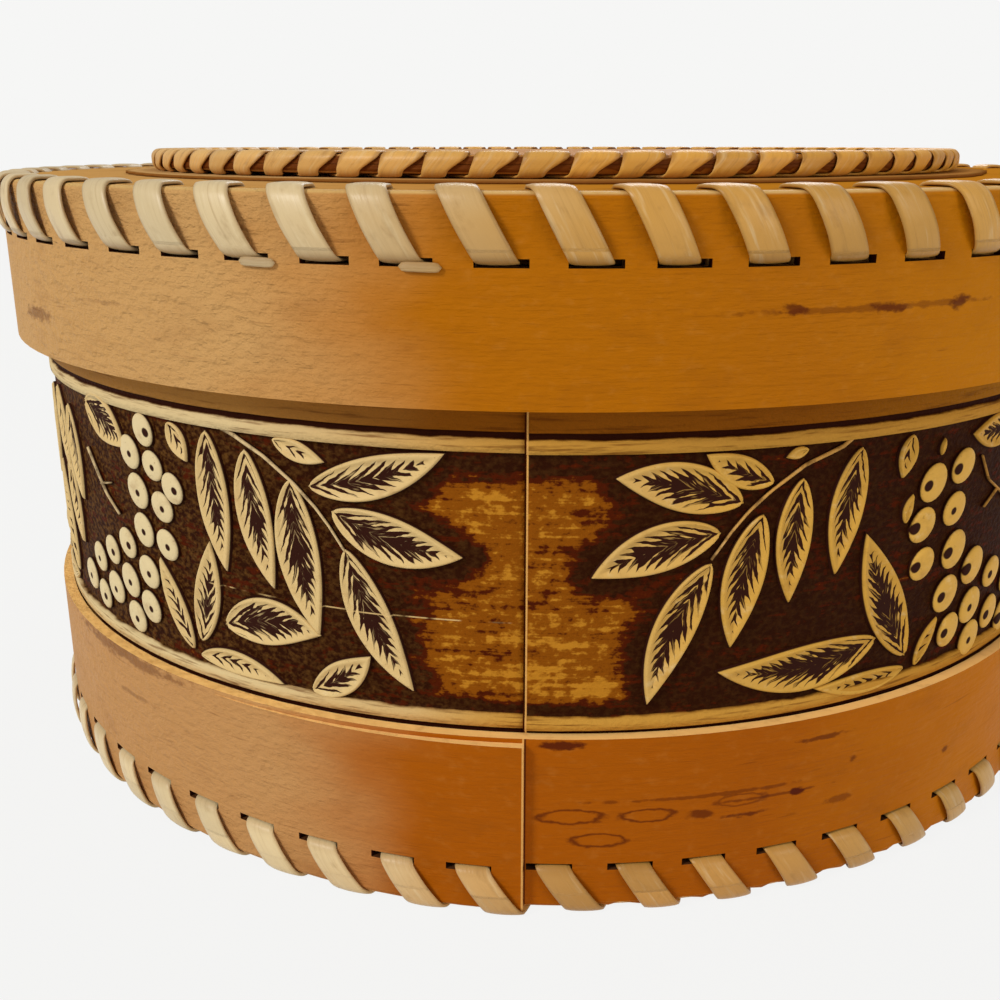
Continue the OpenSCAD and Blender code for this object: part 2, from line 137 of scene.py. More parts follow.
def shells(
    name: str, rings: np.ndarray, marks: dict[str, np.ndarray] | None = None
) -> bpy.types.Object:
    """Makes one object of closed shells.

    Each shell is a row of rings: quads join neighbouring rings, and a flat face closes either end.
    A shell whose signed volume comes out negative has its rings turned round, so all faces point
    outwards.

    Args:
        name: the object's name.
        rings: points in mm, as (shell, ring, point, 3).
        marks: values for materials, by name, as (shell, ring, point) or with a last axis of 3.

    Returns:
        The object, in metres.
    """
    count, rows, sides = rings.shape[:3]
    nxt = np.roll(rings, -1, axis=2)
    a, b = rings[:, :-1], nxt[:, :-1]
    c, d = nxt[:, 1:], rings[:, 1:]
    volume = (np.cross(a, b) * c + np.cross(a, c) * d).sum((1, 2, 3))
    for end, sign in ((0, -1), (rows - 1, 1)):
        middle = rings[:, end].mean(1, keepdims=True)
        volume += sign * (np.cross(middle, rings[:, end]) * nxt[:, end]).sum((1, 2))
    order = np.where((volume < 0)[:, None], np.arange(sides)[::-1], np.arange(sides))
    pick = np.broadcast_to(order[:, None, :], (count, rows, sides))
    rings = np.take_along_axis(rings, pick[..., None], 2)
    start = np.arange(count)[:, None, None] * rows * sides
    here = start + np.arange(rows - 1)[None, :, None] * sides
    side = np.arange(sides)[None, None, :]
    after = (side + 1) % sides
    corners = [here + side, here + after, here + sides + after, here + sides + side]
    quads = np.stack(corners, -1).reshape(-1, 4)
    first = (start[:, 0] + np.arange(sides)[::-1]).reshape(count, sides)
    last = (start[:, 0] + (rows - 1) * sides + np.arange(sides)).reshape(count, sides)
    faces = quads.tolist() + first.tolist() + last.tolist()
    mesh = bpy.data.meshes.new(name)
    mesh.from_pydata((rings.reshape(-1, 3) * MM).tolist(), [], faces)
    smooth = np.arange(len(faces)) < len(quads)
    mesh.polygons.foreach_set("use_smooth", smooth)
    for key, values in (marks or {}).items():
        vector = values.ndim == 4
        values = np.take_along_axis(values, pick[..., None] if vector else pick, 2)
        data = mesh.attributes.new(key, "FLOAT_VECTOR" if vector else "FLOAT", "POINT").data
        data.foreach_set("vector" if vector else "value", values.ravel())
    mesh.update()
    piece = bpy.data.objects.new(name, mesh)
    bpy.context.scene.collection.objects.link(piece)
    return piece


def place_piece(
    piece: bpy.types.Object, material: bpy.types.Material, body: str, node: str
) -> None:
    """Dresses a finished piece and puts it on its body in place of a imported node.

    Args:
        piece: the finished object.
        material: its finish.
        body: the body that it moves with.
        node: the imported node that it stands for.
    """
    piece.data.materials.append(material)
    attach(piece, body)
    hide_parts(node)
    LOG.info("%s rides on %s, %d faces", piece.name, body, len(piece.data.polygons))


def dress(node: str, material: bpy.types.Material) -> None:
    """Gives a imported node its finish.

    Args:
        node: the node's name.
        material: the finish.
    """
    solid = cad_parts[node]
    solid.data.materials.clear()
    solid.data.materials.append(material)
    LOG.info("%s dressed in %s", node, material.name)


@dataclass(frozen=True)
class Solid:
    """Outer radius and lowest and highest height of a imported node."""

    radius: float
    low: float
    high: float

    @classmethod
    def of(cls, node: str) -> "Solid":
        """Reads a node's box from the frame."""
        low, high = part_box(node)
        return cls(high.x / MM, low.z / MM, high.z / MM)


@dataclass(frozen=True)
class Lap:
    """Lapped end of a sleeve: a circle moved sideways, proud at the seam and level at its end."""

    proud: float
    seam: float
    end: float

    def at(self, angle: np.ndarray) -> np.ndarray:
        """How far the sleeve stands proud: shift times cos(angle - way) between seam and end.

        Args:
            angle: degrees from the front.

        Returns:
            Millimetres, 0 outside the lap.
        """
        way = self.end + (-90 if self.seam < self.end else 90)
        shift = self.proud / math.cos(math.radians(way - self.seam))
        near = angle - 360 * np.round((angle - (self.seam + self.end) / 2) / 360)
        inside = (near - self.seam) * (near - self.end) <= 0
        return np.where(inside, shift * np.cos(np.radians(near - way)), 0.0)


# ------------------------------------------------------------------ finishes


@dataclass(frozen=True)
class Layer:
    """Colour that shows where a cloudy pattern passes from low to high.

    The size is the pattern's grain along x, y and z, in mm.
    """

    colour: str
    size: tuple[float, float, float]
    low: float
    high: float
    strength: float = 1.0
    detail: float = 3.0


@dataclass(frozen=True)
class Tone:
    """Colour of one skin from the box's left side, through its front, to its right side. The change
    is mostly painted light: the left tone is paler, as if lit from the left, and the richer ones
    are darker and warmer away from that light.

    Centre and spread say where, in mm along x, the left tone gives way to the richer ones.
    """

    left: str
    middle: str
    right: str
    centre: float = -27.0
    spread: float = 17.0


@dataclass(frozen=True)
class Seam:
    """Upright cut edge at an angle. Side is 1 where the outer layer lies on its right."""

    angle: float
    side: int


class Tree:
    """Node tree under construction, of a material or a world."""

    def __init__(self, owner: bpy.types.Material | bpy.types.World) -> None:
        """Empties the owner's tree and adds its output."""
        owner.use_nodes = True
        self.owner = owner
        self.nodes = owner.node_tree.nodes
        self.links = owner.node_tree.links
        self.nodes.clear()
        kind = "World" if isinstance(owner, bpy.types.World) else "Material"
        self.output = self.nodes.new("ShaderNodeOutput" + kind)

    def add(
        self, kind: str, inputs: dict | None = None, out: int | str | tuple = 0, **settings
    ) -> Socket | list[Socket]:
        """Adds a shader node.

        Args:
            kind: the node's type without its ShaderNode prefix.
            inputs: sockets by index or name, each linked or set to a value.
            out: the output that is handed back, or a tuple of them.
            settings: the node's own properties.

        Returns:
            The chosen output socket, or a list of them.
        """
        node = self.nodes.new("ShaderNode" + kind)
        for key, value in settings.items():
            setattr(node, key, value)
        for key, value in (inputs or {}).items():
            if isinstance(value, Socket):
                self.links.new(value, node.inputs[key])
            else:
                node.inputs[key].default_value = value
        return [node.outputs[k] for k in out] if isinstance(out, tuple) else node.outputs[out]

    def finish(self, shader: Socket) -> bpy.types.Material | bpy.types.World:
        """Links the shader to the output and hands back the owner."""
        self.links.new(shader, self.output.inputs["Surface"])
        return self.owner

    @cached_property
    def place(self) -> Socket:
        """Object coordinates in millimetres, added where they are first read."""
        metres = self.add("TexCoord", out="Object")
        return self.add("VectorMath", {0: metres, "Scale": 1 / MM}, operation="SCALE")

    def grain(
        self, size: tuple[float, float, float], detail: float = 3.0, place: Socket | None = None
    ) -> Socket:
        """Cloudy pattern of a real size.

        Args:
            size: its grain along each axis, in mm.
            detail: how many finer patterns lie on it.
            place: where it is read, in mm, if not at the material's place.

        Returns:
            Values round 0.5.
        """
        steps = tuple(1 / s for s in size)
        place = self.place if place is None else place
        scaled = self.add("VectorMath", {0: place, 1: steps}, **MULTIPLY)
        inputs = {"Vector": scaled, "Scale": 1.0, "Detail": detail, "Roughness": 0.58}
        return self.add("TexNoise", inputs)

    def window(self, value: Socket, low: float, high: float, soft: float) -> Socket:
        """Line or stripe across a surface.

        Args:
            value: what is measured, such as the height.
            low: where the stripe starts.
            high: where it ends.
            soft: half the width of its soft edges.

        Returns:
            1 inside the stripe, 0 outside it.
        """
        rise = self.add("MapRange", {0: value, 1: low - soft, 2: low + soft}, **SOFT)
        fall = self.add("MapRange", {0: value, 1: high + soft, 2: high - soft}, **SOFT)
        return self.add("Math", {0: rise, 1: fall}, **MULTIPLY)

    def paint(
        self, colour: Socket | tuple, layers: tuple[Layer, ...], place: Socket | None = None
    ) -> Socket:
        """Lays cloudy layers over a colour.

        Args:
            colour: the skin under them.
            layers: what is laid on, in order.
            place: where their patterns are read, in mm, if not at the material's place.

        Returns:
            The finished colour.
        """
        for layer in layers:
            cloud = self.grain(layer.size, layer.detail, place)
            limits = {0: cloud, 1: layer.low, 2: layer.high, 4: layer.strength}
            share = self.add("MapRange", limits, **SOFT)
            colour = self.add("Mix", {0: share, 6: colour, 7: linear(layer.colour)}, **COLOURS)
        return colour

    def drift(self, centre: float, spread: float) -> Socket:
        """Share of a richer tone, which stands for painted side light: rises along x, with a cloudy
        front.

        Args:
            centre: x at which the share is a half.
            spread: how far before and after it the rise reaches.

        Returns:
            The share, 0 to 1.
        """
        sway = 24.0
        across = self.add("SeparateXYZ", {0: self.place}, out="X")
        cloud = self.grain((22, 22, 12), 2)
        shifted = self.add("Math", {0: cloud, 1: sway, 2: across}, **MULTIPLY_ADD)
        middle = centre + sway / 2
        return self.add("MapRange", {0: shifted, 1: middle - spread, 2: middle + spread}, **SOFT)

    def side_lit(self, tone: Tone) -> Socket:
        """Skin colour of a tone, from left to right of the box, with its painted side light.

        Args:
            tone: the tone.

        Returns:
            The colour.
        """
        left, middle, right = map(linear, (tone.left, tone.middle, tone.right))
        first = self.drift(tone.centre, tone.spread)
        second = self.drift(*RIGHT_TURN)
        colour = self.add("Mix", {0: first, 6: left, 7: middle}, **COLOURS)
        return self.add("Mix", {0: second, 6: colour, 7: right}, **COLOURS)

    def seam_lines(self, colour: Socket, seam: Seam) -> Socket:
        """Worn pale edge of the outer layer at a seam, and beside it a painted shadow line, the
        shade that the outer layer casts.

        The distance from the seam is R sin(a - seam angle), taken only on the seam's own half.

        Args:
            colour: the skin.
            seam: where the seam is.

        Returns:
            The skin with both lines.
        """
        a = math.radians(seam.angle)
        along, ahead = (
            self.add("VectorMath", {0: self.place, 1: way}, out="Value", operation="DOT_PRODUCT")
            for way in ((math.cos(a), math.sin(a), 0), (math.sin(a), -math.cos(a), 0))
        )
        front = self.add("Math", {0: ahead, 1: 0.0}, operation="GREATER_THAN")
        # The pale line is the worn cut edge; the dark one is a painted shadow cast by the outer
        # layer
        for low, high, code in ((0.0, 0.22, "#DCA65C"), (-0.24, -0.02, "#562408")):
            ends = sorted((low * seam.side, high * seam.side))
            line = self.add("Math", {0: self.window(along, *ends, 0.06), 1: front}, **MULTIPLY)
            colour = self.add("Mix", {0: line, 6: colour, 7: linear(code)}, **COLOURS)
        return colour

    def scratch(self, colour: Socket) -> Socket:
        """Fine pale level scratch, broken along its length, left of the front of the band.

        Args:
            colour: the skin.

        Returns:
            The skin with the scratch.
        """
        across, height = self.add("SeparateXYZ", {0: self.place}, out=("X", "Z"))
        cloud = self.grain((4, 4, 30))
        share = self.add("MapRange", {0: cloud, 1: 0.42, 2: 0.58, 4: 0.8}, **SOFT)
        for value, *ends in ((height, 38.7, 38.86, 0.06), (across, -48.0, -7.0, 1.0)):
            share = self.add("Math", {0: share, 1: self.window(value, *ends)}, **MULTIPLY)
        return self.add("Mix", {0: share, 6: colour, 7: linear("#E6C486")}, **COLOURS)


class MarkKind(Enum):
    """Marks of the tree on its bark."""

    STREAK = "streak"
    LENS = "lens"


@dataclass(frozen=True)
class Mark:
    """Lenticel, knot or stain on an upright hoop, at an angle and a height, flattened in z."""

    angle: float
    height: float
    length: float
    thickness: float
    strength: float = 0.6
    kind: MarkKind = MarkKind.STREAK


@dataclass(frozen=True)
class BarkFinish:
    """Smooth inner side of birch bark, peeled, pressed and oiled.

    The eye sees a soft satin skin, suede-like where it dried out and finely wrinkled elsewhere,
    warm blotches, and dark level streaks where the lenticels were. Cut edges show paler layers.
    Bark has an IOR of about 1.5, and its open fibres dull the gloss.
    """

    name: str
    tone: Tone
    cut: str = "#DCAE6C"
    radius: float = 0.0
    slot_height: float = -9.0
    seam: Seam | None = None
    marks: tuple[Mark, ...] = ()
    suede: float = 0.3
    gloss: float = 0.06
    layers: tuple[Layer, ...] = (
        Layer("#7A420E", (10, 10, 5), 0.5, 0.85, 0.3, 4),
        Layer("#6E3206", (8, 8, 0.4), 0.52, 0.85, 0.2, 4),
        Layer("#D89A4A", (1.8, 1.8, 1.2), 0.5, 0.85, 0.12, 4),
        Layer("#5E2A06", (10, 10, 0.6), 0.68, 0.76, 0.3, 2),
    )

    def make(self) -> bpy.types.Material:
        """Builds the material.

        Returns:
            The material. With a radius it is for an upright hoop, otherwise for a level sheet.
        """
        t = Tree(bpy.data.materials.new(self.name))
        skin = t.paint(t.side_lit(self.tone), self.layers)
        for mark in self.marks:
            share = self.mark_share(t, mark)
            skin = t.add("Mix", {0: share, 6: skin, 7: linear("#561C03")}, **COLOURS)
        if self.seam:
            skin = t.seam_lines(skin, self.seam)
        colour, normal = self.cut_edges(t, skin)
        # Share of the darker side of the painted side light, which also damps the suede bump
        side_shade = t.drift(self.tone.centre, self.tone.spread)
        dry = t.add("MapRange", {0: side_shade, 3: 1.0, 4: 0.22})
        pebble = t.add("Math", {0: t.grain((1.5, 1.5, 1.0), 4), 1: dry}, **MULTIPLY)
        wrinkle = t.grain((5, 5, 0.5))
        height = t.add("Math", {0: wrinkle, 1: 0.22, 2: pebble}, **MULTIPLY_ADD)
        rough = t.add("MapRange", {0: t.grain((9, 9, 5)), 3: 0.42, 4: 0.66})
        bumped = t.add("Bump", {"Height": height, "Distance": self.suede * MM, "Normal": normal})
        sockets = {"Base Color": colour, "Roughness": rough, "IOR": BARK_IOR, "Normal": bumped}
        return t.finish(t.add("BsdfPrincipled", {**sockets, "Specular IOR Level": self.gloss}))

    def mark_share(self, t: Tree, mark: Mark) -> Socket:
        """Strength of one mark, from the distance to its middle in half lengths and thicknesses.

        Args:
            t: the tree that is added to.
            mark: the mark.

        Returns:
            The share of dark, ragged for a streak and only round the outline for a lens.
        """
        centre = on_axis(np.array(mark.angle), np.array(self.radius), np.array(mark.height))
        lens = mark.kind is MarkKind.LENS
        away = t.add("VectorMath", {0: t.place, 1: tuple(centre)}, operation="SUBTRACT")
        flat = (2 / mark.length, 2 / mark.length, 2 / mark.thickness)
        scaled = t.add("VectorMath", {0: away, 1: flat}, **MULTIPLY)
        distance = t.add("VectorMath", {0: scaled}, out="Value", operation="LENGTH")
        wobble = t.grain((1.8, 1.8, 1.0), 4)
        ragged = t.add("Math", {0: wobble, 1: 0.7 if lens else 2.4, 2: distance}, **MULTIPLY_ADD)
        if lens:
            inside = t.window(ragged, 1.08, 1.3, 0.12)
        else:
            inside = t.add("MapRange", {0: ragged, 1: 2.35, 2: 1.7}, **SOFT)
        return t.add("Math", {0: inside, 1: mark.strength}, **MULTIPLY)

    def cut_edges(self, t: Tree, skin: Socket) -> tuple[Socket, Socket]:
        """Layered bark on cut edges, painted shade on the walls of the slots, and the true round
        normal on upright sides.

        Args:
            t: the tree that is added to.
            skin: colour of the faces.

        Returns:
            The colour and the normal.
        """
        normal = t.add("NewGeometry", out="Normal")
        level = t.add("VectorMath", {0: t.place, 1: (1, 1, 0)}, **MULTIPLY)
        radial = t.add("VectorMath", {0: level}, operation="NORMALIZE")
        facing = t.add("VectorMath", {0: radial, 1: normal}, out="Value", operation="DOT_PRODUCT")
        upright = t.add("Math", {0: facing}, operation="ABSOLUTE")
        side = t.add("Math", {0: upright, 1: 0.97}, operation="GREATER_THAN")
        way = t.add("Math", {0: facing}, operation="SIGN")
        outward = t.add("VectorMath", {0: radial, "Scale": way}, operation="SCALE")
        rounded = t.add("Mix", {0: side, 4: normal, 5: outward}, out=1, data_type="VECTOR")
        rise = t.add("SeparateXYZ", {0: normal}, out="Z")
        turned = upright if self.radius else t.add("Math", {0: rise}, operation="ABSOLUTE")
        edge = t.add("MapRange", {0: turned, 1: 0.9, 2: 0.6}, **SOFT)
        ply = t.paint(linear(self.cut), (Layer("#A66A2C", (2.4, 2.4, 0.22), 0.5, 0.85, 0.45),))
        colour = t.add("Mix", {0: edge, 6: skin, 7: ply}, **COLOURS)
        # Painted shade: cut faces at the slot's height are darkened, as the inside of a slot lies
        # in shade
        height = t.add("SeparateXYZ", {0: t.place}, out="Z")
        slot = t.window(height, self.slot_height - 0.55, self.slot_height + 0.55, 0.1)
        dark = t.add("Math", {0: slot, 1: edge}, **MULTIPLY)
        return t.add("Mix", {0: dark, 6: colour, 7: linear("#3E1408")}, **COLOURS), rounded


@dataclass(frozen=True)
class LaceFinish:
    """Split and scraped bast or bark strip: long fine fibres with a soft satin sheen.

    The fibres follow the strip's run, its edges are a little darker, and it turns darker brown
    where it comes out of its slots. Bast has an IOR of about 1.5.
    """

    name: str
    tone: Tone
    dark: str
    slot_height: float = 0.0
    # How much darker brown the strip turns near its slots
    rubbed: float = 0.0
    rough: float = 0.38

    def make(self) -> bpy.types.Material:
        """Builds the material from the strip's run attribute: mm along, mm across, and chance."""
        t = Tree(bpy.data.materials.new(self.name))
        run = t.add("Attribute", out="Vector", attribute_name="run")
        across, chance = t.add("SeparateXYZ", {0: run}, out=("Y", "Z"))
        shifted = t.add("VectorMath", {0: run, 1: (1, 1, 90)}, **MULTIPLY)
        layers = (
            Layer(self.dark, (11, 0.45, 1), 0.48, 0.9, 0.4),
            Layer(self.dark, (2.6, 1.7, 1), 0.52, 0.85, 0.4),
            Layer("#EADBB4", (7, 0.9, 1), 0.52, 0.8, 0.35),
        )
        colour = t.paint(t.side_lit(self.tone), layers, shifted)
        off = t.add("Math", {0: across}, operation="ABSOLUTE")
        edge = t.add("MapRange", {0: off, 1: 1.8, 2: 2.5, 4: 0.4}, **SOFT)
        height = t.add("SeparateXYZ", {0: t.place}, out="Z")
        # Darker brown near the slots
        near = t.window(height, self.slot_height - 0.6, self.slot_height + 0.6, 0.8)
        near_slot_dark = t.add("Math", {0: near, 1: self.rubbed}, **MULTIPLY)
        worn = t.add("Math", {0: edge, 1: near_slot_dark}, operation="MAXIMUM")
        colour = t.add("Mix", {0: worn, 6: colour, 7: linear(self.dark)}, **COLOURS)
        each = t.add("MapRange", {0: chance, 3: 0.86, 4: 1.06})
        colour = t.add("Mix", {0: 1.0, 6: colour, 7: each}, blend_type="MULTIPLY", **COLOURS)
        fibres = t.grain((9, 0.35, 1), place=shifted)
        bumped = t.add("Bump", {"Height": fibres, "Distance": 0.07 * MM})
        sockets = {"Base Color": colour, "Roughness": self.rough, "IOR": BARK_IOR, "Normal": bumped}
        return t.finish(t.add("BsdfPrincipled", {**sockets, "Specular IOR Level": 0.3}))


class Relief(Enum):
    """What a pressed piece of the band shows."""

    LEAF = "leaf"
    BERRY = "berry"
    TWIG = "twig"


@dataclass(frozen=True)
class ReliefFinish:
    """Raised places of embossed bark: the stain was wiped off them and stays in the hollows. Their
    side walls are darkened too, partly that stain and partly painted shade.
    """

    kind: Relief
    tone: Tone
    dark: str = "#2E0F04"
    barb: float = 0.38

    def make(self) -> bpy.types.Material:
        """Builds the material from the piece's own place and from the depth below its crown."""
        t = Tree(bpy.data.materials.new(f"Embossed_bark_{self.kind.value}"))
        own = t.add("Attribute", out="Vector", attribute_name="own")
        x, y, z = t.add("SeparateXYZ", {0: own}, out=("X", "Y", "Z"))
        layers = (
            Layer("#8E5A26", (3, 3, 2), 0.5, 0.85, 0.4, 4),
            Layer("#F2E2B8", (1.6, 1.6, 1.2), 0.55, 0.8, 0.25, 3),
            Layer("#6A3410", (0.5, 0.5, 0.5), 0.62, 0.8, 0.35, 2),
        )
        skin = t.paint(t.side_lit(self.tone), layers)
        if self.kind is Relief.LEAF:
            stain = self.feather(t, x, y, z)
        elif self.kind is Relief.BERRY:
            stain = self.eye(t, x, y, z)
        else:
            stain = t.add("MapRange", {0: t.grain((2, 2, 2)), 1: 0.45, 2: 0.7, 4: 0.7}, **SOFT)
        depth = t.add("Attribute", out="Fac", attribute_name="depth")
        # Side walls darker down to the field: partly stain in the hollows, partly painted shade
        wall = t.add("MapRange", {0: depth, 1: 0.12, 2: 0.32}, **SOFT)
        stain = t.add("Math", {0: stain, 1: wall}, operation="MAXIMUM")
        colour = t.scratch(t.add("Mix", {0: stain, 6: skin, 7: linear(self.dark)}, **COLOURS))
        bumped = t.add("Bump", {"Height": t.grain((0.6, 0.6, 0.5)), "Distance": 0.07 * MM})
        rough = t.add("MapRange", {0: stain, 3: 0.45, 4: 0.75})
        sockets = {"Base Color": colour, "Roughness": rough, "IOR": BARK_IOR, "Normal": bumped}
        return t.finish(t.add("BsdfPrincipled", {**sockets, "Specular IOR Level": 0.1}))

    def feather(self, t: Tree, along: Socket, across: Socket, inside: Socket) -> Socket:
        """Dark feathered middle of a leaf.

        The distance inside the rim, less a saw over w = 0.9 |across| - 0.42 along, which is
        constant on lines that run from the midrib towards the tip. The teeth are of cloudy length,
        and pale scratches run along the same lines.

        Args:
            t: the tree that is added to.
            along: mm from the leaf's foot.
            across: mm from its midrib.
            inside: mm inside the rim.

        Returns:
            The share of dark.
        """
        half = t.add("Math", {0: across}, operation="ABSOLUTE")
        half = t.add("Math", {0: half, 1: 0.9}, **MULTIPLY)
        slant = t.add("Math", {0: along, 1: -0.42, 2: half}, **MULTIPLY_ADD)
        slant = t.add("Math", {0: t.grain((1.4, 1.4, 1.4), 2), 1: 0.4, 2: slant}, **MULTIPLY_ADD)
        tooth = t.add("Math", {0: slant, 1: self.barb}, operation="PINGPONG")
        cloud = t.grain((1.8, 1.8, 1.8), 1)
        reach = t.add("MapRange", {0: cloud, 1: 0.3, 2: 0.7, 3: -1.8, 4: -6.0})
        saw = t.add("Math", {0: tooth, 1: reach, 2: inside}, **MULTIPLY_ADD)
        dark = t.add("MapRange", {0: saw, 1: -0.1, 2: 0.12}, **SOFT)
        line = t.add("CombineXYZ", {0: slant, 1: along, 2: across})
        streaks = t.grain((0.3, 3.5, 9), 2, line)
        pale = t.add("MapRange", {0: streaks, 1: 0.56, 2: 0.7, 3: 1.0, 4: 0.4}, **SOFT)
        return t.add("Math", {0: dark, 1: pale}, **MULTIPLY)

    def eye(self, t: Tree, x: Socket, y: Socket, size: Socket) -> Socket:
        """Dark dot of a berry, which becomes a notch in its rim on the side towards the seam.

        Args:
            t: the tree that is added to.
            x: radii from the berry's middle, away from the seam.
            y: radii above its middle.
            size: 0 to 1, from a small dot near the middle to a large notch.

        Returns:
            The share of dark.
        """
        shifted = t.add("Math", {0: size, 1: 0.5, 2: x}, **MULTIPLY_ADD)
        spot = t.add("CombineXYZ", {0: shifted, 1: y, 2: 0.0})
        ends = {0: spot, 1: (-0.2, -0.06, 0)}
        away = t.add("VectorMath", ends, out="Value", operation="DISTANCE")
        larger = t.add("Math", {0: size, 1: -0.14, 2: away}, **MULTIPLY_ADD)
        return t.add("MapRange", {0: larger, 1: 0.25, 2: 0.16}, **SOFT)


@dataclass(frozen=True)
class BandFinish:
    """Stained outer sleeve of pressed bark.

    The field is nearly black and leathery, amber where the stain rubbed off between the sprays, and
    closed by pale border lines between black grooves.
    """

    low: float
    high: float
    border: float
    groove: float
    seam: Seam
    # The plain bark above the top groove lies under the lid; its darker tone is partly painted
    # shade from the lid
    bark: Tone = Tone("#A87638", "#8A4E0C", "#A0660E")
    line: Tone = Tone("#D9C190", "#C4903C", "#BE8732", -24.0, 22.0)

    def make(self) -> bpy.types.Material:
        """Builds the material from the height and the plain attribute, mm inside a bare zone."""
        t = Tree(bpy.data.materials.new("Embossed_bark_field"))
        raw = t.add("SeparateXYZ", {0: t.place}, out="Z")
        wave = t.add("Math", {0: t.grain((5, 5, 2)), 1: 0.4, 2: raw}, **MULTIPLY_ADD)
        height = t.add("Math", {0: wave, 1: 0.2}, operation="SUBTRACT")
        grit = t.grain((0.8, 0.8, 0.6))
        bark = t.paint(t.side_lit(self.bark), (Layer("#4A1C04", (12, 12, 0.7), 0.5, 0.75, 0.7),))
        line = t.paint(t.side_lit(self.line), (Layer("#6A3A10", (7, 7, 0.45), 0.5, 0.74, 0.75),))
        inner = t.window(height, self.low, self.high, 0.1)
        colour = t.add("Mix", {0: inner, 6: bark, 7: self.pressed(t, grit)}, **COLOURS)
        for start in (self.low - self.border, self.high):
            share = t.window(height, start, start + self.border, 0.08)
            colour = t.add("Mix", {0: share, 6: colour, 7: line}, **COLOURS)
        for start in (self.low - self.border - self.groove, self.high + self.border):
            share = t.window(height, start, start + self.groove, 0.1)
            colour = t.add("Mix", {0: share, 6: colour, 7: linear("#2C0E03")}, **COLOURS)
        colour = t.seam_lines(t.scratch(colour), self.seam)
        bumped = t.add("Bump", {"Height": grit, "Distance": 0.22 * MM})
        sockets = {"Base Color": colour, "Roughness": 0.62, "IOR": BARK_IOR, "Normal": bumped}
        return t.finish(t.add("BsdfPrincipled", {**sockets, "Specular IOR Level": 0.03}))

    def pressed(self, t: Tree, grit: Socket) -> Socket:
        """Stain that is worn away in steps, from black over red brown and amber to gold.

        How worn it is comes from the plain attribute and from clouds, less level streaks. Pale
        flecks on the high points of the grit, strongest on the left, are painted highlights.

        Args:
            t: the tree that is added to.
            grit: fine leathery pattern.

        Returns:
            The colour of the field.
        """
        plain = t.add("Attribute", out="Fac", attribute_name="plain")
        worn = t.add("MapRange", {0: plain, 1: -0.5, 2: 6.5, 4: 0.66}, **SOFT)
        for size, share in (((6, 6, 3), 1.0), ((1.2, 1.2, 0.9), 1.1), ((16, 16, 0.8), -1.1)):
            worn = t.add("Math", {0: t.grain(size, 4), 1: share, 2: worn}, **MULTIPLY_ADD)
        # Painted highlights on the grit, strongest on the lit left side
        tones = t.add("MapRange", {0: t.drift(-30, 30), 3: 0.8, 4: 0.15})
        grit_highlight = t.add("MapRange", {0: grit, 1: 0.42, 2: 0.7})
        share = t.add("Math", {0: grit_highlight, 1: tones}, **MULTIPLY)
        colour = t.add("Mix", {0: share, 6: linear("#2C1003"), 7: linear("#6E4A20")}, **COLOURS)
        steps = ((0.58, 0.8, "#4A1703"), (0.86, 1.06, "#874A08"), (1.18, 1.4, "#B97C22"))
        for low, high, code in steps:
            share = t.add("MapRange", {0: worn, 1: low, 2: high}, **SOFT)
            colour = t.add("Mix", {0: share, 6: colour, 7: linear(code)}, **COLOURS)
        return colour


# ------------------------------------------------------------------ lacing


@dataclass(frozen=True)
class Stitching:
    """Stitches round an edge, each with the small irregularity of hand work."""

    count: int
    first: float
    side: int
    wander: float = 0.25

    def slot(self, n: np.ndarray) -> np.ndarray:
        """Angle of a slot: even steps plus wander (sin 137 n + sin(61 n + 40)) / 2."""
        k = np.mod(n, self.count)
        drift = (np.sin(np.radians(137 * k)) + np.sin(np.radians(61 * k + 40))) / 2
        return self.first + n * 360 / self.count + self.wander * drift

    def angle(self, n: np.ndarray, share: np.ndarray) -> np.ndarray:
        """Angle where the lace has gone a share of the way from slot n to the next."""
        here = self.slot(self.side * n)
        return here + (self.slot(self.side * (n + 1)) - here) * share


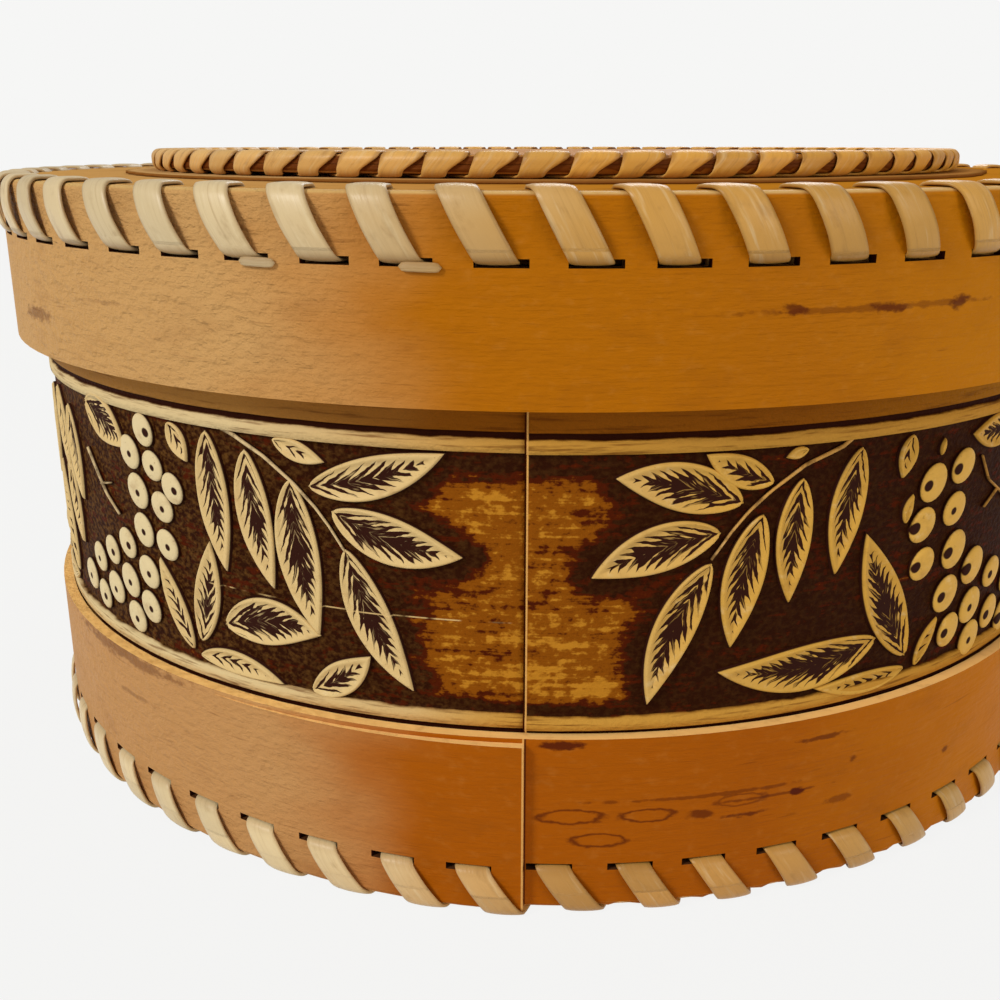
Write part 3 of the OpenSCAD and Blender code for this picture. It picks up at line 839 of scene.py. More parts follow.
@dataclass(frozen=True)
class Lacing:
    """Strip that runs round and round an edge.

    A turn is a list of (radius, height, share of a stitch gone by, width). Points beyond the face's
    radius lie on the outside, and move out with the lap under them. Slack is how far the strip bows
    out halfway down the face.
    """

    name: str
    stitching: Stitching
    turn: tuple[tuple[float, float, float, float], ...]
    thickness: float
    outward: int
    face: float
    lap: Lap = Lap(0.0, 0.0, 1.0)
    step: float = 0.4
    slack: float = 0.0

    def path(self) -> np.ndarray:
        """Radius, height, angle and width along the strip, at even steps, with rounded corners."""
        n = np.arange(self.stitching.count)
        turn = np.array(self.turn)
        angle = self.stitching.angle(n[:, None], turn[None, :, 2])
        shape = angle.shape
        radius, height, width = (np.broadcast_to(turn[None, :, k], shape) for k in (0, 1, 3))
        radius = radius + np.where(radius > self.face - 1, self.lap.at(angle), 0)
        knots = np.stack([radius, height, angle, width], -1).reshape(-1, 4)
        moved = np.diff(knots, axis=0)
        around = np.radians(moved[:, 2]) * knots[1:, 0]
        steps = np.hypot(np.hypot(moved[:, 0], moved[:, 1]), around)
        length = np.concatenate([[0], np.cumsum(steps)])
        even = np.arange(0, length[-1], self.step)
        path = np.stack([np.interp(even, length, knots[:, k]) for k in range(4)], 1)
        soft = np.array([1, 4, 6, 4, 1]) / 16
        padded = np.pad(path, ((2, 2), (0, 0)), mode="edge")
        return np.stack([np.convolve(padded[:, k], soft, mode="valid") for k in range(4)], 1)

    def bow(self, path: np.ndarray) -> np.ndarray:
        """Distance off the face: slack sin(pi s), with s the share of the way down it."""
        heights = [z for r, z, _, _ in self.turn if r > self.face]
        share = np.clip((path[:, 1] - min(heights)) / (max(heights) - min(heights)), 0, 1)
        return self.slack * np.sin(np.pi * share) * (path[:, 0] > self.face - 0.2)

    def build(self) -> bpy.types.Object:
        """Sweeps a crowned strip along the path.

        Each ring lies half a width either way round the circle and half a thickness along the
        left normal of the path in the (radius, height) plane.

        Returns:
            The strip, as one closed shell.
        """
        path = self.path()
        run = np.gradient(path[:, :2], axis=0)
        run /= np.linalg.norm(run, axis=1, keepdims=True)
        normal = np.stack([-run[:, 1], run[:, 0]], 1) * self.outward
        top = [(-1, 0), (-0.95, 0.7), (-0.72, 1.05), (-0.35, 1.25), (0, 1.3)]
        top += [(-x, y) for x, y in top[3:0:-1]]
        base = [(1, 0), (0.93, -0.8), (0.5, -1), (-0.5, -1), (-0.93, -0.8)]
        section = np.array(top + base)
        walk = np.arange(len(path)) * self.step
        width = path[:, 3] * (1 + 0.018 * (np.sin(walk / 3.1) + np.sin(walk / 7.7 + 2)))
        across = section[None, :, 0] * width[:, None] / 2
        lift = section[None, :, 1] * self.thickness / 2
        radius = path[:, 0, None] + lift * normal[:, 0, None] + self.bow(path)[:, None]
        height = path[:, 1, None] + lift * normal[:, 1, None]
        angle = path[:, 2, None] + np.degrees(across / path[:, 0, None])
        number = np.floor(path[:, 2] * self.stitching.count / 360)
        chance = np.mod(np.sin(number * 12.9898) * 43.7, 1)
        own = np.stack([walk[:, None] + 0 * across, across, chance[:, None] + 0 * across], -1)
        return shells(self.name, on_axis(angle, radius, height)[None], {"run": own[None]})


# ------------------------------------------------------------------ embossed band

# A leaf is (foot along the band, foot height, tip along the band, tip height, width, bow). Places
# along the band are mm from the seam, and a positive bow bends the leaf to the left of its run.
RIGHT_LEAVES = [
    (29.3, 55.6, 20.4, 59.6, 4.2, 0.3), (25.5, 53.4, 9.9, 57.0, 6.3, -0.6),
    (22.9, 49.9, 7.4, 44.8, 6.2, -0.8), (22.0, 46.2, 14.7, 28.0, 5.6, -0.9),
    (28.2, 51.8, 24.9, 34.8, 5.8, -0.5), (33.2, 55.8, 32.4, 39.8, 5.2, -0.3),
    (41.4, 58.8, 38.8, 42.6, 5.4, -0.3), (33.6, 59.3, 30.4, 58.4, 1.8, 0.0),
    (46.6, 33.0, 23.2, 32.0, 6.6, 1.7), (52.5, 27.6, 36.6, 27.9, 3.4, 0.8),
    (52.3, 29.2, 43.2, 47.8, 6.6, 0.5), (54.4, 27.2, 58.4, 33.6, 2.6, 0.2),
    (49.6, 59.4, 48.2, 53.8, 3.4, 0.0), (73.0, 58.0, 61.4, 57.8, 5.0, 0.5),
    (49.7, 47.8, 50.8, 51.8, 1.9, 0.3), (55.1, 55.9, 55.6, 58.4, 1.3, 0.0),
]
LEFT_LEAVES = [
    (26.8, 54.2, 9.2, 59.6, 5.6, 0.8), (23.8, 51.4, 7.2, 46.9, 6.4, 1.0),
    (22.2, 46.8, 13.6, 28.8, 5.8, 1.0), (29.4, 54.8, 26.1, 34.6, 6.4, 0.9),
    (35.9, 57.8, 32.4, 39.8, 5.6, 0.8), (42.2, 59.4, 40.0, 40.8, 5.6, 0.5),
    (31.6, 59.6, 24.2, 57.3, 3.0, 0.2), (49.2, 59.5, 45.7, 54.6, 3.6, 0.0),
    (41.0, 33.6, 25.8, 34.8, 6.8, -1.2), (46.3, 28.0, 31.6, 26.9, 3.6, -0.9),
    (45.7, 30.0, 42.8, 45.0, 5.0, 0.3), (47.4, 28.4, 53.4, 40.6, 4.0, -0.3),
    (27.7, 27.2, 19.2, 33.2, 4.8, 0.6), (70.9, 59.0, 59.4, 54.2, 6.4, -0.6),
    (80.0, 57.0, 76.0, 43.0, 5.4, 0.4), (87.0, 58.6, 81.6, 46.0, 5.6, 0.4),
    (83.4, 48.6, 78.6, 35.6, 5.2, 0.3),
]
# The far half of every spray is the same, and bows towards the side that the spray runs to.
FAR_LEAVES = [
    (110.0, 53.0, 125.0, 57.3, 6.0, 0.5), (112.0, 50.8, 127.5, 46.3, 6.5, 0.5),
    (113.0, 46.8, 121.0, 28.8, 5.5, 0.8), (107.0, 52.3, 110.0, 35.3, 5.5, 0.4),
    (102.0, 55.3, 103.0, 40.3, 5.0, 0.3), (94.0, 57.8, 95.0, 42.3, 5.0, 0.3),
    (92.0, 33.8, 111.0, 32.8, 6.6, 1.6), (86.0, 28.3, 102.0, 27.9, 3.4, 0.8),
    (85.0, 29.3, 91.5, 46.3, 6.0, 0.4),
]
RIGHT_BERRIES = [
    (54.3, 52.5), (60.2, 53.8), (59.3, 48.2), (53.0, 47.1), (60.3, 42.4), (53.8, 41.7),
    (65.5, 39.0), (59.6, 36.3), (71.4, 36.6), (66.2, 33.0), (72.3, 30.4), (77.8, 34.4),
    (61.2, 30.7), (67.0, 27.9), (77.6, 28.4), (83.4, 31.4),
]
LEFT_BERRIES = [
    (54.7, 57.6), (58.4, 54.0), (53.2, 53.0), (49.3, 50.6), (57.2, 48.8), (51.8, 47.6),
    (56.6, 43.4), (51.4, 42.4), (61.4, 40.4), (66.4, 38.1), (71.4, 35.7), (76.2, 31.6),
    (56.3, 37.4), (61.6, 34.8), (66.4, 32.4), (71.0, 30.0), (60.6, 29.6), (56.6, 32.2),
]
# A twig is a list of (along the band, height) with its width.
RIGHT_TWIGS = [
   
    ([(40, 60.2), (38.4, 59.1), (33.4, 57.4), (29, 54.6),
      (26.2, 52.2), (24.3, 50), (21.9, 46.6)], 0.55),
    ([(78, 44), (71, 48.4), (67, 50.8), (64.5, 54.5)], 0.5), ([(70, 49), (66.6, 47)], 0.4),
]
LEFT_TWIGS = [
   
    ([(40, 60.2), (37.6, 59.4), (33, 57.2), (29, 54.4),
      (26, 51.6), (24.2, 49.4), (22.2, 46.4)], 0.55),
    ([(72, 52), (66.5, 46.4), (63, 44.2)], 0.5), ([(68, 47.6), (64.6, 48.4)], 0.4),
]


@dataclass(frozen=True)
class Spray:
    """Pressed spray: where it starts, which way it runs and how wide its berries are."""

    name: str
    way: int
    start: float
    berry: float
    leaves: list
    berries: list
    twigs: list

    def table(self) -> np.ndarray:
        """Rows of all its leaves, those of the far half bowed its own way."""
        return np.array(self.leaves + [(*leaf[:5], self.way * leaf[5]) for leaf in FAR_LEAVES])


@dataclass
class EmbossedBand:
    """Outer sleeve with its pressed field, border lines, leaves, berries and twigs."""

    solid: Solid
    hoop_top: float
    thickness: float = 1.35
    lap: Lap = Lap(0.6, -3.85, 26.0)
    field_low: float = 26.8
    field_high: float = 59.8
    depth: float = 0.6
    border: float = 1.7
    groove: float = 0.8
    groove_depth: float = 0.35
    bevel: float = 0.07
    crown: float = 0.13
    flank: float = 0.42
    hollow: float = 0.32
    rim_foot: float = 0.42
    rim_growth: float = 0.7
    small: float = 4.4
    large: float = 4.9
    lean: float = 0.2
    bare: float = 16.0
    bare_low: float = 27.6
    bare_high: float = 57.6
    # Width of the dark ring kept round the leaves: stain next to the relief, and painted shade in
    # the recess there
    halo: float = 1.1

    def sprays(self) -> list[Spray]:
        """Two sprays from the seam and two from the back, mirrored in pairs."""
        back = np.pi * self.solid.radius
        right = (self.large, RIGHT_LEAVES, RIGHT_BERRIES, RIGHT_TWIGS)
        left = (self.small, LEFT_LEAVES, LEFT_BERRIES, LEFT_TWIGS)
        return [
            Spray("front_right", 1, 0.0, *right),
            Spray("front_left", -1, 0.0, *left),
            Spray("back_left", 1, back, *right),
            Spray("back_right", -1, back, *left),
        ]

    def on_skin(self, along: np.ndarray, height: np.ndarray, off: np.ndarray) -> np.ndarray:
        """Points on the sleeve.

        Args:
            along: mm along the band from its seam.
            height: height above the table.
            off: mm outside the skin.

        Returns:
            Points, with x, y and z in the last axis.
        """
        angle = self.lap.seam + np.degrees(along / self.solid.radius)
        return on_axis(angle, self.solid.radius + self.lap.at(angle) + off, height)

    def leaf_lines(
        self, leaves: np.ndarray, t: np.ndarray
    ) -> tuple[np.ndarray, np.ndarray, np.ndarray]:
        """Middle line, unit normal and half width of leaves.

        The middle line is a quadratic curve from foot to tip, pushed sideways by the bow, and the
        half width is w / 2 sin(pi t^0.85)^(0.7 + 0.15 t).

        Args:
            leaves: rows of foot, tip, width and bow.
            t: places from foot to tip, 0 to 1.

        Returns:
            Middle points and normals as (leaf, t, 2), and half widths as (leaf, t).
        """
        foot, tip = leaves[:, None, 0:2], leaves[:, None, 2:4]
        run = tip - foot
        length = np.linalg.norm(run, axis=2, keepdims=True)
        left = np.stack([-run[..., 1], run[..., 0]], -1) / length
        mid = (foot + tip) / 2 + left * 2 * leaves[:, None, 5:6]
        s = t[None, :, None]
        line = (1 - s) ** 2 * foot + 2 * s * (1 - s) * mid + s**2 * tip
        along = 2 * (1 - s) * (mid - foot) + 2 * s * (tip - mid)
        along /= np.linalg.norm(along, axis=2, keepdims=True)
        normal = np.stack([-along[..., 1], along[..., 0]], -1)
        half = leaves[:, 4:5] / 2 * np.sin(np.pi * t[None, :] ** 0.85) ** (0.7 + 0.15 * t[None, :])
        return line, normal, half

    def build_leaves(self, spray: Spray) -> bpy.types.Object:
        """Leaves of one spray, each a closed shell whose grid follows its outline.

        The skin rises from the field to the rim along a flank, is crowned on the rim, and sinks
        into a hollow inside it. The rim widens from foot to tip.

        Args:
            spray: the spray.

        Returns:
            The leaves, as one object.
        """
        table = spray.table()
        t = np.linspace(0.004, 0.996, 44)
        line, normal, half = self.leaf_lines(table, t)
        top = np.array([-1, -0.95, -0.9, -0.84, -0.77, -0.69, -0.6, -0.48, -0.33, -0.17])
        top = np.concatenate([top, [0], -top[::-1]])
        share = np.concatenate([top, [0.9, 0, -0.9]])
        at = line[:, :, None] + normal[:, :, None] * (half[:, :, None] * share)[..., None]
        inside = (1 - np.abs(share)) * half[:, :, None]
        rim = self.rim_foot + self.rim_growth * t[None, :, None]
        hollow = inside - rim
        crown = self.crown * np.sin(np.pi * np.clip(inside / rim, 0, 1))
        sunk = self.depth * (1 - smoothstep(inside, 0, self.flank))
        off = crown - sunk - self.hollow * smoothstep(hollow, 0, 0.5)
        off[..., len(top) :] = -self.depth - 0.3
        length = np.linalg.norm(table[:, 2:4] - table[:, 0:2], axis=1)
        along = length[:, None, None] * t[None, :, None] + 0 * inside
        own = np.stack([along, half[:, :, None] * share, hollow], -1)
        deep = np.where(hollow > 0, 0.0, np.clip(-off, 0, None))
        rings = self.on_skin(spray.start + spray.way * at[..., 0], at[..., 1], off)
        return shells(f"rowan_leaves_{spray.name}", rings, {"own": own, "depth": deep})

    def build_berries(self, spray: Spray) -> bpy.types.Object:
        """Berries of one spray: low domes turned from a profile of (share of the radius, height).

        Args:
            spray: the spray.

        Returns:
            The berries, as one object.
        """
        table = np.array(spray.berries)
        profile = np.array(
            [(1.0, -self.depth - 0.25), (1.0, -self.depth + 0.1), (0.985, -0.2), (0.94, -0.04),
             (0.85, 0.06), (0.65, 0.14), (0.4, 0.18), (0.15, 0.19), (0.02, 0.19)]
        )
        turn = np.linspace(0, 2 * np.pi, 22, endpoint=False)
        draw = np.random.default_rng(len(table))
        size = spray.berry / 2 * draw.uniform(0.9, 1.05, len(table))
        tall = draw.uniform(0.97, 1.1, len(table))
        x = size[:, None, None] * profile[None, :, 0, None] * np.cos(turn)
        y = size[:, None, None] * profile[None, :, 0, None] * np.sin(turn) * tall[:, None, None]
        off = profile[None, :, 1, None] + 0 * x
        notch = draw.uniform(0, 1, len(table))[:, None, None] ** (1 if spray.way > 0 else 3) + 0 * x
        at = spray.start + spray.way * (table[:, 0, None, None] + x + self.lean * y)
        rings = self.on_skin(at, table[:, 1, None, None] + y, off)
        own = np.stack([x / size[:, None, None], y / size[:, None, None], notch], -1)
        marks = {"own": own, "depth": np.clip(-off, 0, None)}
        return shells(f"rowan_berries_{spray.name}", rings, marks)

    def build_twig(self, spray: Spray, number: int) -> bpy.types.Object:
        """One twig: a half round ridge along its points, tapered towards its end.

        Args:
            spray: the spray.
            number: which of its twigs, from 0.

        Returns:
            The twig.
        """
        knots, width = np.array(spray.twigs[number][0], float), spray.twigs[number][1]
        reach = np.concatenate([[0], np.cumsum(np.linalg.norm(np.diff(knots, axis=0), axis=1))])
        even = np.linspace(0, reach[-1], 26)
        line = np.stack([np.interp(even, reach, knots[:, k]) for k in range(2)], 1)
        run = np.gradient(line, axis=0)
        run /= np.linalg.norm(run, axis=1, keepdims=True)
        normal = np.stack([-run[:, 1], run[:, 0]], 1)
        ridge = [(-1, -0.35), (-0.7, -0.1), (0, 0), (0.7, -0.1), (1, -0.35)]
        section = np.array(ridge + [(1, -0.9), (-1, -0.9)])
        half = width / 2 * np.linspace(1, 0.5, len(line))
        at = line[:, None] + normal[:, None] * (half[:, None] * section[:, 0])[..., None]
        off = section[None, :, 1] + 0 * at[..., 0]
        rings = self.on_skin(spray.start + spray.way * at[..., 0], at[..., 1], off)[None]
        marks = {"own": np.zeros(rings.shape), "depth": np.clip(-off - 0.05, 0, None)[None]}
        return shells(f"rowan_twig_{spray.name}_{number + 1}", rings, marks)

    def profile(self) -> np.ndarray:
        """Half section of the sleeve as (height, depth below the skin), with bevelled steps."""
        b, low, high = self.bevel, self.solid.low, self.solid.high
        low_line, high_line = self.field_low - self.border, self.field_high + self.border
        steps = [
            (low_line - self.groove, 0, self.groove_depth), (low_line, self.groove_depth, 0),
            (self.field_low, 0, self.depth), (self.field_high, self.depth, 0),
            (high_line, 0, self.groove_depth), (high_line + self.groove, self.groove_depth, 0),
        ]
        floor = np.arange(self.field_low + 0.7, self.field_high - 0.5, 0.62)
        rows = [(low, 0.0)]
        for height, before, after in steps:
            if height == self.field_high:
                rows += [(z, self.depth) for z in floor]
            rows += [(height - b, before), (height + b, after)]
        return np.array(rows + [(high, 0.0), (high, self.thickness), (low, self.thickness)])

    def bareness(self, along: np.ndarray, height: np.ndarray) -> np.ndarray:
        """Millimetres inside a bare amber zone between two sprays, negative outside it.

        It is the least of the distances to the zone's sides, to the borders and to the leaves.

        Args:
            along: mm along the band from its seam.
            height: height above the table.

        Returns:
            The distances.
        """
        half = np.pi * self.solid.radius
        zone = np.mod(along + half / 4, half / 2) - half / 4
        edges = np.minimum(height - self.bare_low, self.bare_high - height)
        inside = np.minimum(self.bare - np.abs(zone), 2.5 * edges)
        for spray in self.sprays():
            line, _, wide = self.leaf_lines(spray.table(), np.linspace(0, 1, 14))
            middle = spray.start + spray.way * line[..., 0]
            for leaf in range(len(line)):
                away = np.mod(along[..., None] - middle[leaf] + half, 2 * half) - half
                gap = np.hypot(away, height[..., None] - line[leaf, :, 1]) - wide[leaf]
                inside = np.minimum(inside, 2.5 * (gap.min(-1) - self.halo))
        return inside

    def build_sleeve(self) -> bpy.types.Object:
        """Sleeve swept once round from its seam, its lapped end above the hoop standing proud."""
        rows = self.profile()
        angle = np.linspace(0, 360, 721)[:, None] + self.lap.seam
        angle[-1] -= 0.001
        height = rows[None, :, 0] + 0 * angle
        lapped = (height > self.hoop_top) & (rows[None, :, 1] < self.thickness)
        radius = self.solid.radius - rows[None, :, 1] + self.lap.at(angle) * lapped
        along = np.radians(angle - self.lap.seam) * self.solid.radius + 0 * height
        plain = self.bareness(along, height)[None]
        rings = on_axis(angle + 0 * radius, radius, height)[None]
        return shells("embossed_sleeve", rings, {"plain": plain})

    def build(self) -> None:
        """Makes the band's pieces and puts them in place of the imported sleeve."""
        tones = {
            Relief.LEAF: Tone("#DABC82", "#D0A046", "#CC9838", 0.0, 26.0),
            Relief.BERRY: Tone("#DECA9C", "#DCAC50", "#DEAC4C", 0.0, 26.0),
            Relief.TWIG: Tone("#D6BC8C", "#C8964C", "#C28C40", 0.0, 26.0),
        }
        finish = {kind: ReliefFinish(kind, tone).make() for kind, tone in tones.items()}
        lines = (self.field_low, self.field_high, self.border, self.groove)
        made = [(self.build_sleeve(), BandFinish(*lines, Seam(self.lap.seam, 1)).make())]
        for spray in self.sprays():
            made.append((self.build_leaves(spray), finish[Relief.LEAF]))
            made.append((self.build_berries(spray), finish[Relief.BERRY]))
            twigs = [self.build_twig(spray, number) for number in range(len(spray.twigs))]
            made += [(twig, finish[Relief.TWIG]) for twig in twigs]
        for piece, material in made:
            place_piece(piece, material, "box", "embossed_band")


# ------------------------------------------------------------------ box and lid


def bend(edge: float, gap: float, thickness: float, corners: int) -> tuple[float, float]:
    """How far a lace's corner is cut off where it goes round a rounded edge.

    Args:
        edge: radius of the edge.
        gap: distance of the lace from the edge.
        thickness: the lace's thickness.
        corners: slanting pieces round the edge, 1 or 2.

    Returns:
        The cut along both faces, and how far the middle point lies in from the corner.
    """
    radius = edge + gap + thickness / 2
    turn = math.radians(22.5 if corners == 1 else 15)
    return radius * (1 - math.tan(turn)), radius * (1 - math.cos(math.pi / 4) / math.cos(turn))


INSIDE = Tone("#CFA268", "#BC8034", "#BE8234")
BOARD = Tone("#A87B47", "#8E5C22", "#8E5C22")
SKIRT_MARKS = (
    Mark(22.0, 76.0, 41.0, 0.9, 0.45), Mark(14.7, 76.2, 3.4, 1.5, 0.8),
    Mark(22.8, 76.0, 5.0, 1.3, 0.75), Mark(29.3, 75.9, 3.0, 1.8, 0.8),
    Mark(-53.0, 71.2, 12.0, 2.0, 0.5), Mark(-40.0, 74.6, 12.0, 0.7, 0.2),
    Mark(150.0, 74.0, 26.0, 1.0, 0.5), Mark(-120.0, 71.0, 20.0, 0.9, 0.45),
    Mark(85.0, 78.0, 16.0, 1.0, 0.4),
)
HOOP_MARKS = (
    Mark(-1.0, 23.8, 6.3, 1.3, 0.95), Mark(0.0, 13.9, 9.0, 2.3, 0.8, MarkKind.LENS),
    Mark(6.2, 13.8, 7.9, 2.0, 0.8, MarkKind.LENS), Mark(2.2, 10.5, 8.0, 2.1, 0.8, MarkKind.LENS),
    Mark(14.2, 14.7, 8.0, 1.8, 0.6, MarkKind.LENS), Mark(10.6, 13.4, 4.4, 1.5, 0.75),
    Mark(14.5, 12.5, 6.5, 0.8, 0.8), Mark(19.4, 14.6, 2.2, 1.4, 1.0),
    Mark(24.8, 17.4, 1.5, 1.2, 0.7), Mark(36.9, 13.4, 1.5, 1.3, 0.7),
    Mark(21.7, 21.6, 8.3, 0.8, 0.7), Mark(23.8, 11.9, 4.7, 1.2, 0.5),
    Mark(11.0, 15.9, 30.0, 0.6, 0.55), Mark(16.5, 14.6, 16.0, 0.5, 0.6),
    Mark(-46.0, 23.9, 32.0, 2.4, 0.5), Mark(-44.0, 18.0, 12.0, 0.8, 0.3),
    Mark(170.0, 14.0, 24.0, 1.4, 0.5), Mark(110.0, 12.0, 14.0, 2.6, 0.5, MarkKind.LENS),
    Mark(-120.0, 18.0, 26.0, 1.2, 0.45),
)


@dataclass
class Body:
    """Lower half of the box: base, wall, embossed band, bottom hoop and its lacing."""

    hoop: Solid
    band: Solid
    base: Solid
    hoop_lap: Lap = Lap(1.2, -3.85, -34.0)
    cavity: float = 83.35
    wall: float = 1.3
    edge: float = 0.9
    lace: float = 0.5
    lace_width: float = 4.6
    tuck_width: float = 4.4
    gap: float = 0.1
    lift: float = 0.3
    slot_depth: float = 0.6
    slot_rise: float = 6.1
    slot_inset: float = 2.15
    pitch: float = 10.0
    first_slot: float = -1.55
    slack: float = 0.35

    def lacing(self) -> Lacing:
        """The bottom lacing: down the hoop, under it, up through the base and back inside."""
        slot = self.hoop.low + self.slot_rise
        face = self.hoop.radius + self.gap + self.lace / 2
        cut, _ = bend(self.edge, self.gap, self.lace, 1)
        inner = self.cavity + self.wall - self.slot_inset
        under, tuck, wide = self.lace / 2, self.tuck_width, self.lace_width
        turn = (
            (self.hoop.radius - self.slot_depth, slot, 0.0, tuck),
            (face, slot - self.lift, 0.02, tuck),
            (face, under + cut, 0.38, wide * 1.04),
            (face - cut, under, 0.43, wide * 1.04),
            (inner + self.lift, under, 0.62, wide),
            (inner, under + self.lift, 0.62, wide),
            (inner, self.base.high + self.lift, 0.62, wide),
            (self.cavity - self.gap - self.lace / 2, slot, 0.98, tuck),
        )
        count = round(2 * math.pi * self.hoop.radius / self.pitch)
        stitching = Stitching(count, self.first_slot, 1)
        face = (self.hoop.radius, self.hoop_lap)
        return Lacing("bottom_bast_lacing", stitching, turn, self.lace, 1, *face, slack=self.slack)

    def build(self) -> None:
        """Dresses the lower half."""
        slot = self.hoop.low + self.slot_rise
        tone = Tone("#C2905A", "#A65602", "#C47402", -29, 13)
        face = (self.hoop.radius, slot, Seam(self.hoop_lap.seam, -1), HOOP_MARKS)
        dress("bottom_hoop", BarkFinish("Bark_bottom_hoop", tone, "#F8C67A", *face, 0.55).make())
        wall = BarkFinish("Bark_inner_wall", INSIDE, radius=self.cavity, suede=0.2)
        dress("inner_wall", wall.make())
        dress("floor_lining", BarkFinish("Bark_floor", INSIDE, suede=0.2).make())
        dress("base_disc", BarkFinish("Bark_board", BOARD).make())
        EmbossedBand(self.band, self.hoop.high).build()
        pale = Tone("#DEC89C", "#C6924A", "#CC9E50", -20, 26)
        bast = LaceFinish("Pale_bast_foot", pale, "#8E6428", slot, 0.3).make()
        place_piece(self.lacing().build(), bast, "box", "bottom_lacing")


@dataclass
class Lid:
    """Lid: skirt and liner, top, pale lacing, and the raised disc with its brown lacing."""

    skirt: Solid
    top: Solid
    liner: Solid
    back: Solid
    face: Solid
    underlay: Solid
    skirt_lap: Lap = Lap(0.7, 122.0, 152.0)
    liner_thickness: float = 1.3
    edge: float = 0.9
    lace: float = 0.5
    lace_width: float = 4.7
    gap: float = 0.1
    lift: float = 0.3
    slot_depth: float = 0.6
    slot_drop: float = 7.3
    slot_inset: float = 4.3
    pitch: float = 9.75
    first_slot: float = -5.85
    disc_edge: float = 0.8
    strip: float = 0.35
    strip_width: float = 5.5
    strip_tuck: float = 3.3
    strip_pitch: float = 6.0
    strip_first: float = -2.2
    disc_inset: float = 3.6
    tuck_side: float = 1.3
    tuck_drop: float = 0.45
    tuck_height: float = 0.55
    tuck_off: float = 0.34
    tuck_depth: float = 0.26
    slack: float = 0.7

    def edge_lacing(self) -> Lacing:
        """The lid's lacing: up the skirt, over its top edge, down through the top, back inside."""
        slot = self.skirt.high - self.slot_drop
        face = self.skirt.radius + self.gap + self.lace / 2
        over = self.top.high + self.gap + self.lace / 2
        cut, middle = bend(self.edge, self.gap, self.lace, 2)
        inner, wide = self.skirt.radius - self.slot_inset, self.lace_width
        turn = (
            (self.skirt.radius - self.slot_depth, slot, 0.0, wide),
            (face, slot + self.lift, 0.02, wide),
            (face, over - cut, 0.36, wide),
            (face - middle, over - middle, 0.40, wide),
            (face - cut, over, 0.43, wide),
            (inner + self.lift, over, 0.5, wide),
            (inner, over - self.lift, 0.5, wide),
            (inner, self.top.low - self.lift, 0.5, wide),
            (self.liner.radius - self.liner_thickness - self.gap - self.lace / 2, slot, 0.98, wide),
        )
        count = 2 * round(math.pi * self.skirt.radius / self.pitch)
        stitching = Stitching(count, self.first_slot, -1)
        face = (self.skirt.radius, self.skirt_lap)
        return Lacing("lid_bast_lacing", stitching, turn, self.lace, -1, *face, slack=self.slack)

    def disc_lacing(self) -> Lacing:
        """The raised disc's lacing: up through the plies, out over the rim, down it, back under."""
        rim = self.face.radius + self.gap + self.strip / 2
        over = self.face.high + self.gap + self.strip / 2
        under = self.back.low - self.gap - self.strip / 2
        inner = self.face.radius - self.disc_inset
        cut, _ = bend(self.disc_edge, self.gap, self.strip, 1)
        wide, tuck = self.strip_width, self.strip_tuck
        turn = (
            (inner, self.face.high - self.lift, 0.0, tuck),
            (inner + self.lift, over, 0.02, tuck),
            (rim - cut, over, 0.10, wide),
            (rim, over - cut, 0.12, wide),
            (rim, under + cut, 0.38, tuck),
            (rim - cut, under, 0.42, tuck),
            (inner + self.lift, under, 0.98, tuck),
            (inner, self.back.low + self.lift, 1.0, tuck),
        )
        count = 2 * round(math.pi * self.face.radius / self.strip_pitch)
        stitching = Stitching(count, self.strip_first, -1)
        rim = self.face.radius
        return Lacing("disc_bark_lacing", stitching, turn, self.strip, 1, rim, step=0.34)

    def tuck(self, number: int, stitching: Stitching) -> bpy.types.Object:
        """A lace end folded flat below its slot: a pillow with rounded ends.

        Its half height and half depth swell as (1 - |u|^6)^0.5 from end to end.

        Args:
            number: the stitch that it ends at.
            stitching: where the stitches are.

        Returns:
            The folded end.
        """
        middle = stitching.angle(np.array(float(number)), np.array(0.0))
        slot = self.skirt.high - self.slot_drop
        u = np.linspace(-1, 1, 15)
        half = self.lace_width / 2 * u
        turn = np.linspace(0, 2 * np.pi, 12, endpoint=False)
        swell = (1 - np.abs(u) ** 6) ** 0.5 * 0.9 + 0.1
        upright = self.tuck_height * swell[:, None] * np.sin(turn)
        height = slot - self.tuck_drop + upright - 0.05 * u[:, None]
        radius = self.skirt.radius + self.tuck_off + self.tuck_depth * swell[:, None] * np.cos(turn)
        angle = middle + self.tuck_side + np.degrees(half / self.skirt.radius)[:, None] + 0 * height
        across = 4.4 * (height - slot + self.tuck_drop)
        own = np.stack([half[:, None] + 0 * height, across, 0 * height + 0.3], -1)
        rings = on_axis(angle, radius, height)[None]
        return shells(f"lid_lace_end_{number}", rings, {"run": own[None]})

    def ragged_underlay(self) -> bpy.types.Object:
        """Thin sheet under the raised disc, its edge torn a little: radius less up to 1.3 mm."""
        angle = np.linspace(0, 360, 720, endpoint=False)
        share = np.array([0.02, 0.8, 0.97, 1.0])
        tear = 0.55 + 0.3 * ripple(angle, 5, 3, 17) + 0.25 * ripple(angle, 6, 40, 90)
        edge = self.underlay.radius - 0.05 - np.clip(tear, 0, 1.3)
        curl = np.clip(0.04 * ripple(angle, 7, 4, 12), 0, 0.1)
        top = [(s, self.underlay.high + curl * (s > 0.9)) for s in share]
        base = [(s, self.underlay.low + 0 * curl) for s in share[::-1]]
        rings = np.stack([on_axis(angle, edge * s, z) for s, z in top + base])
        return shells("torn_underlay", rings[None])

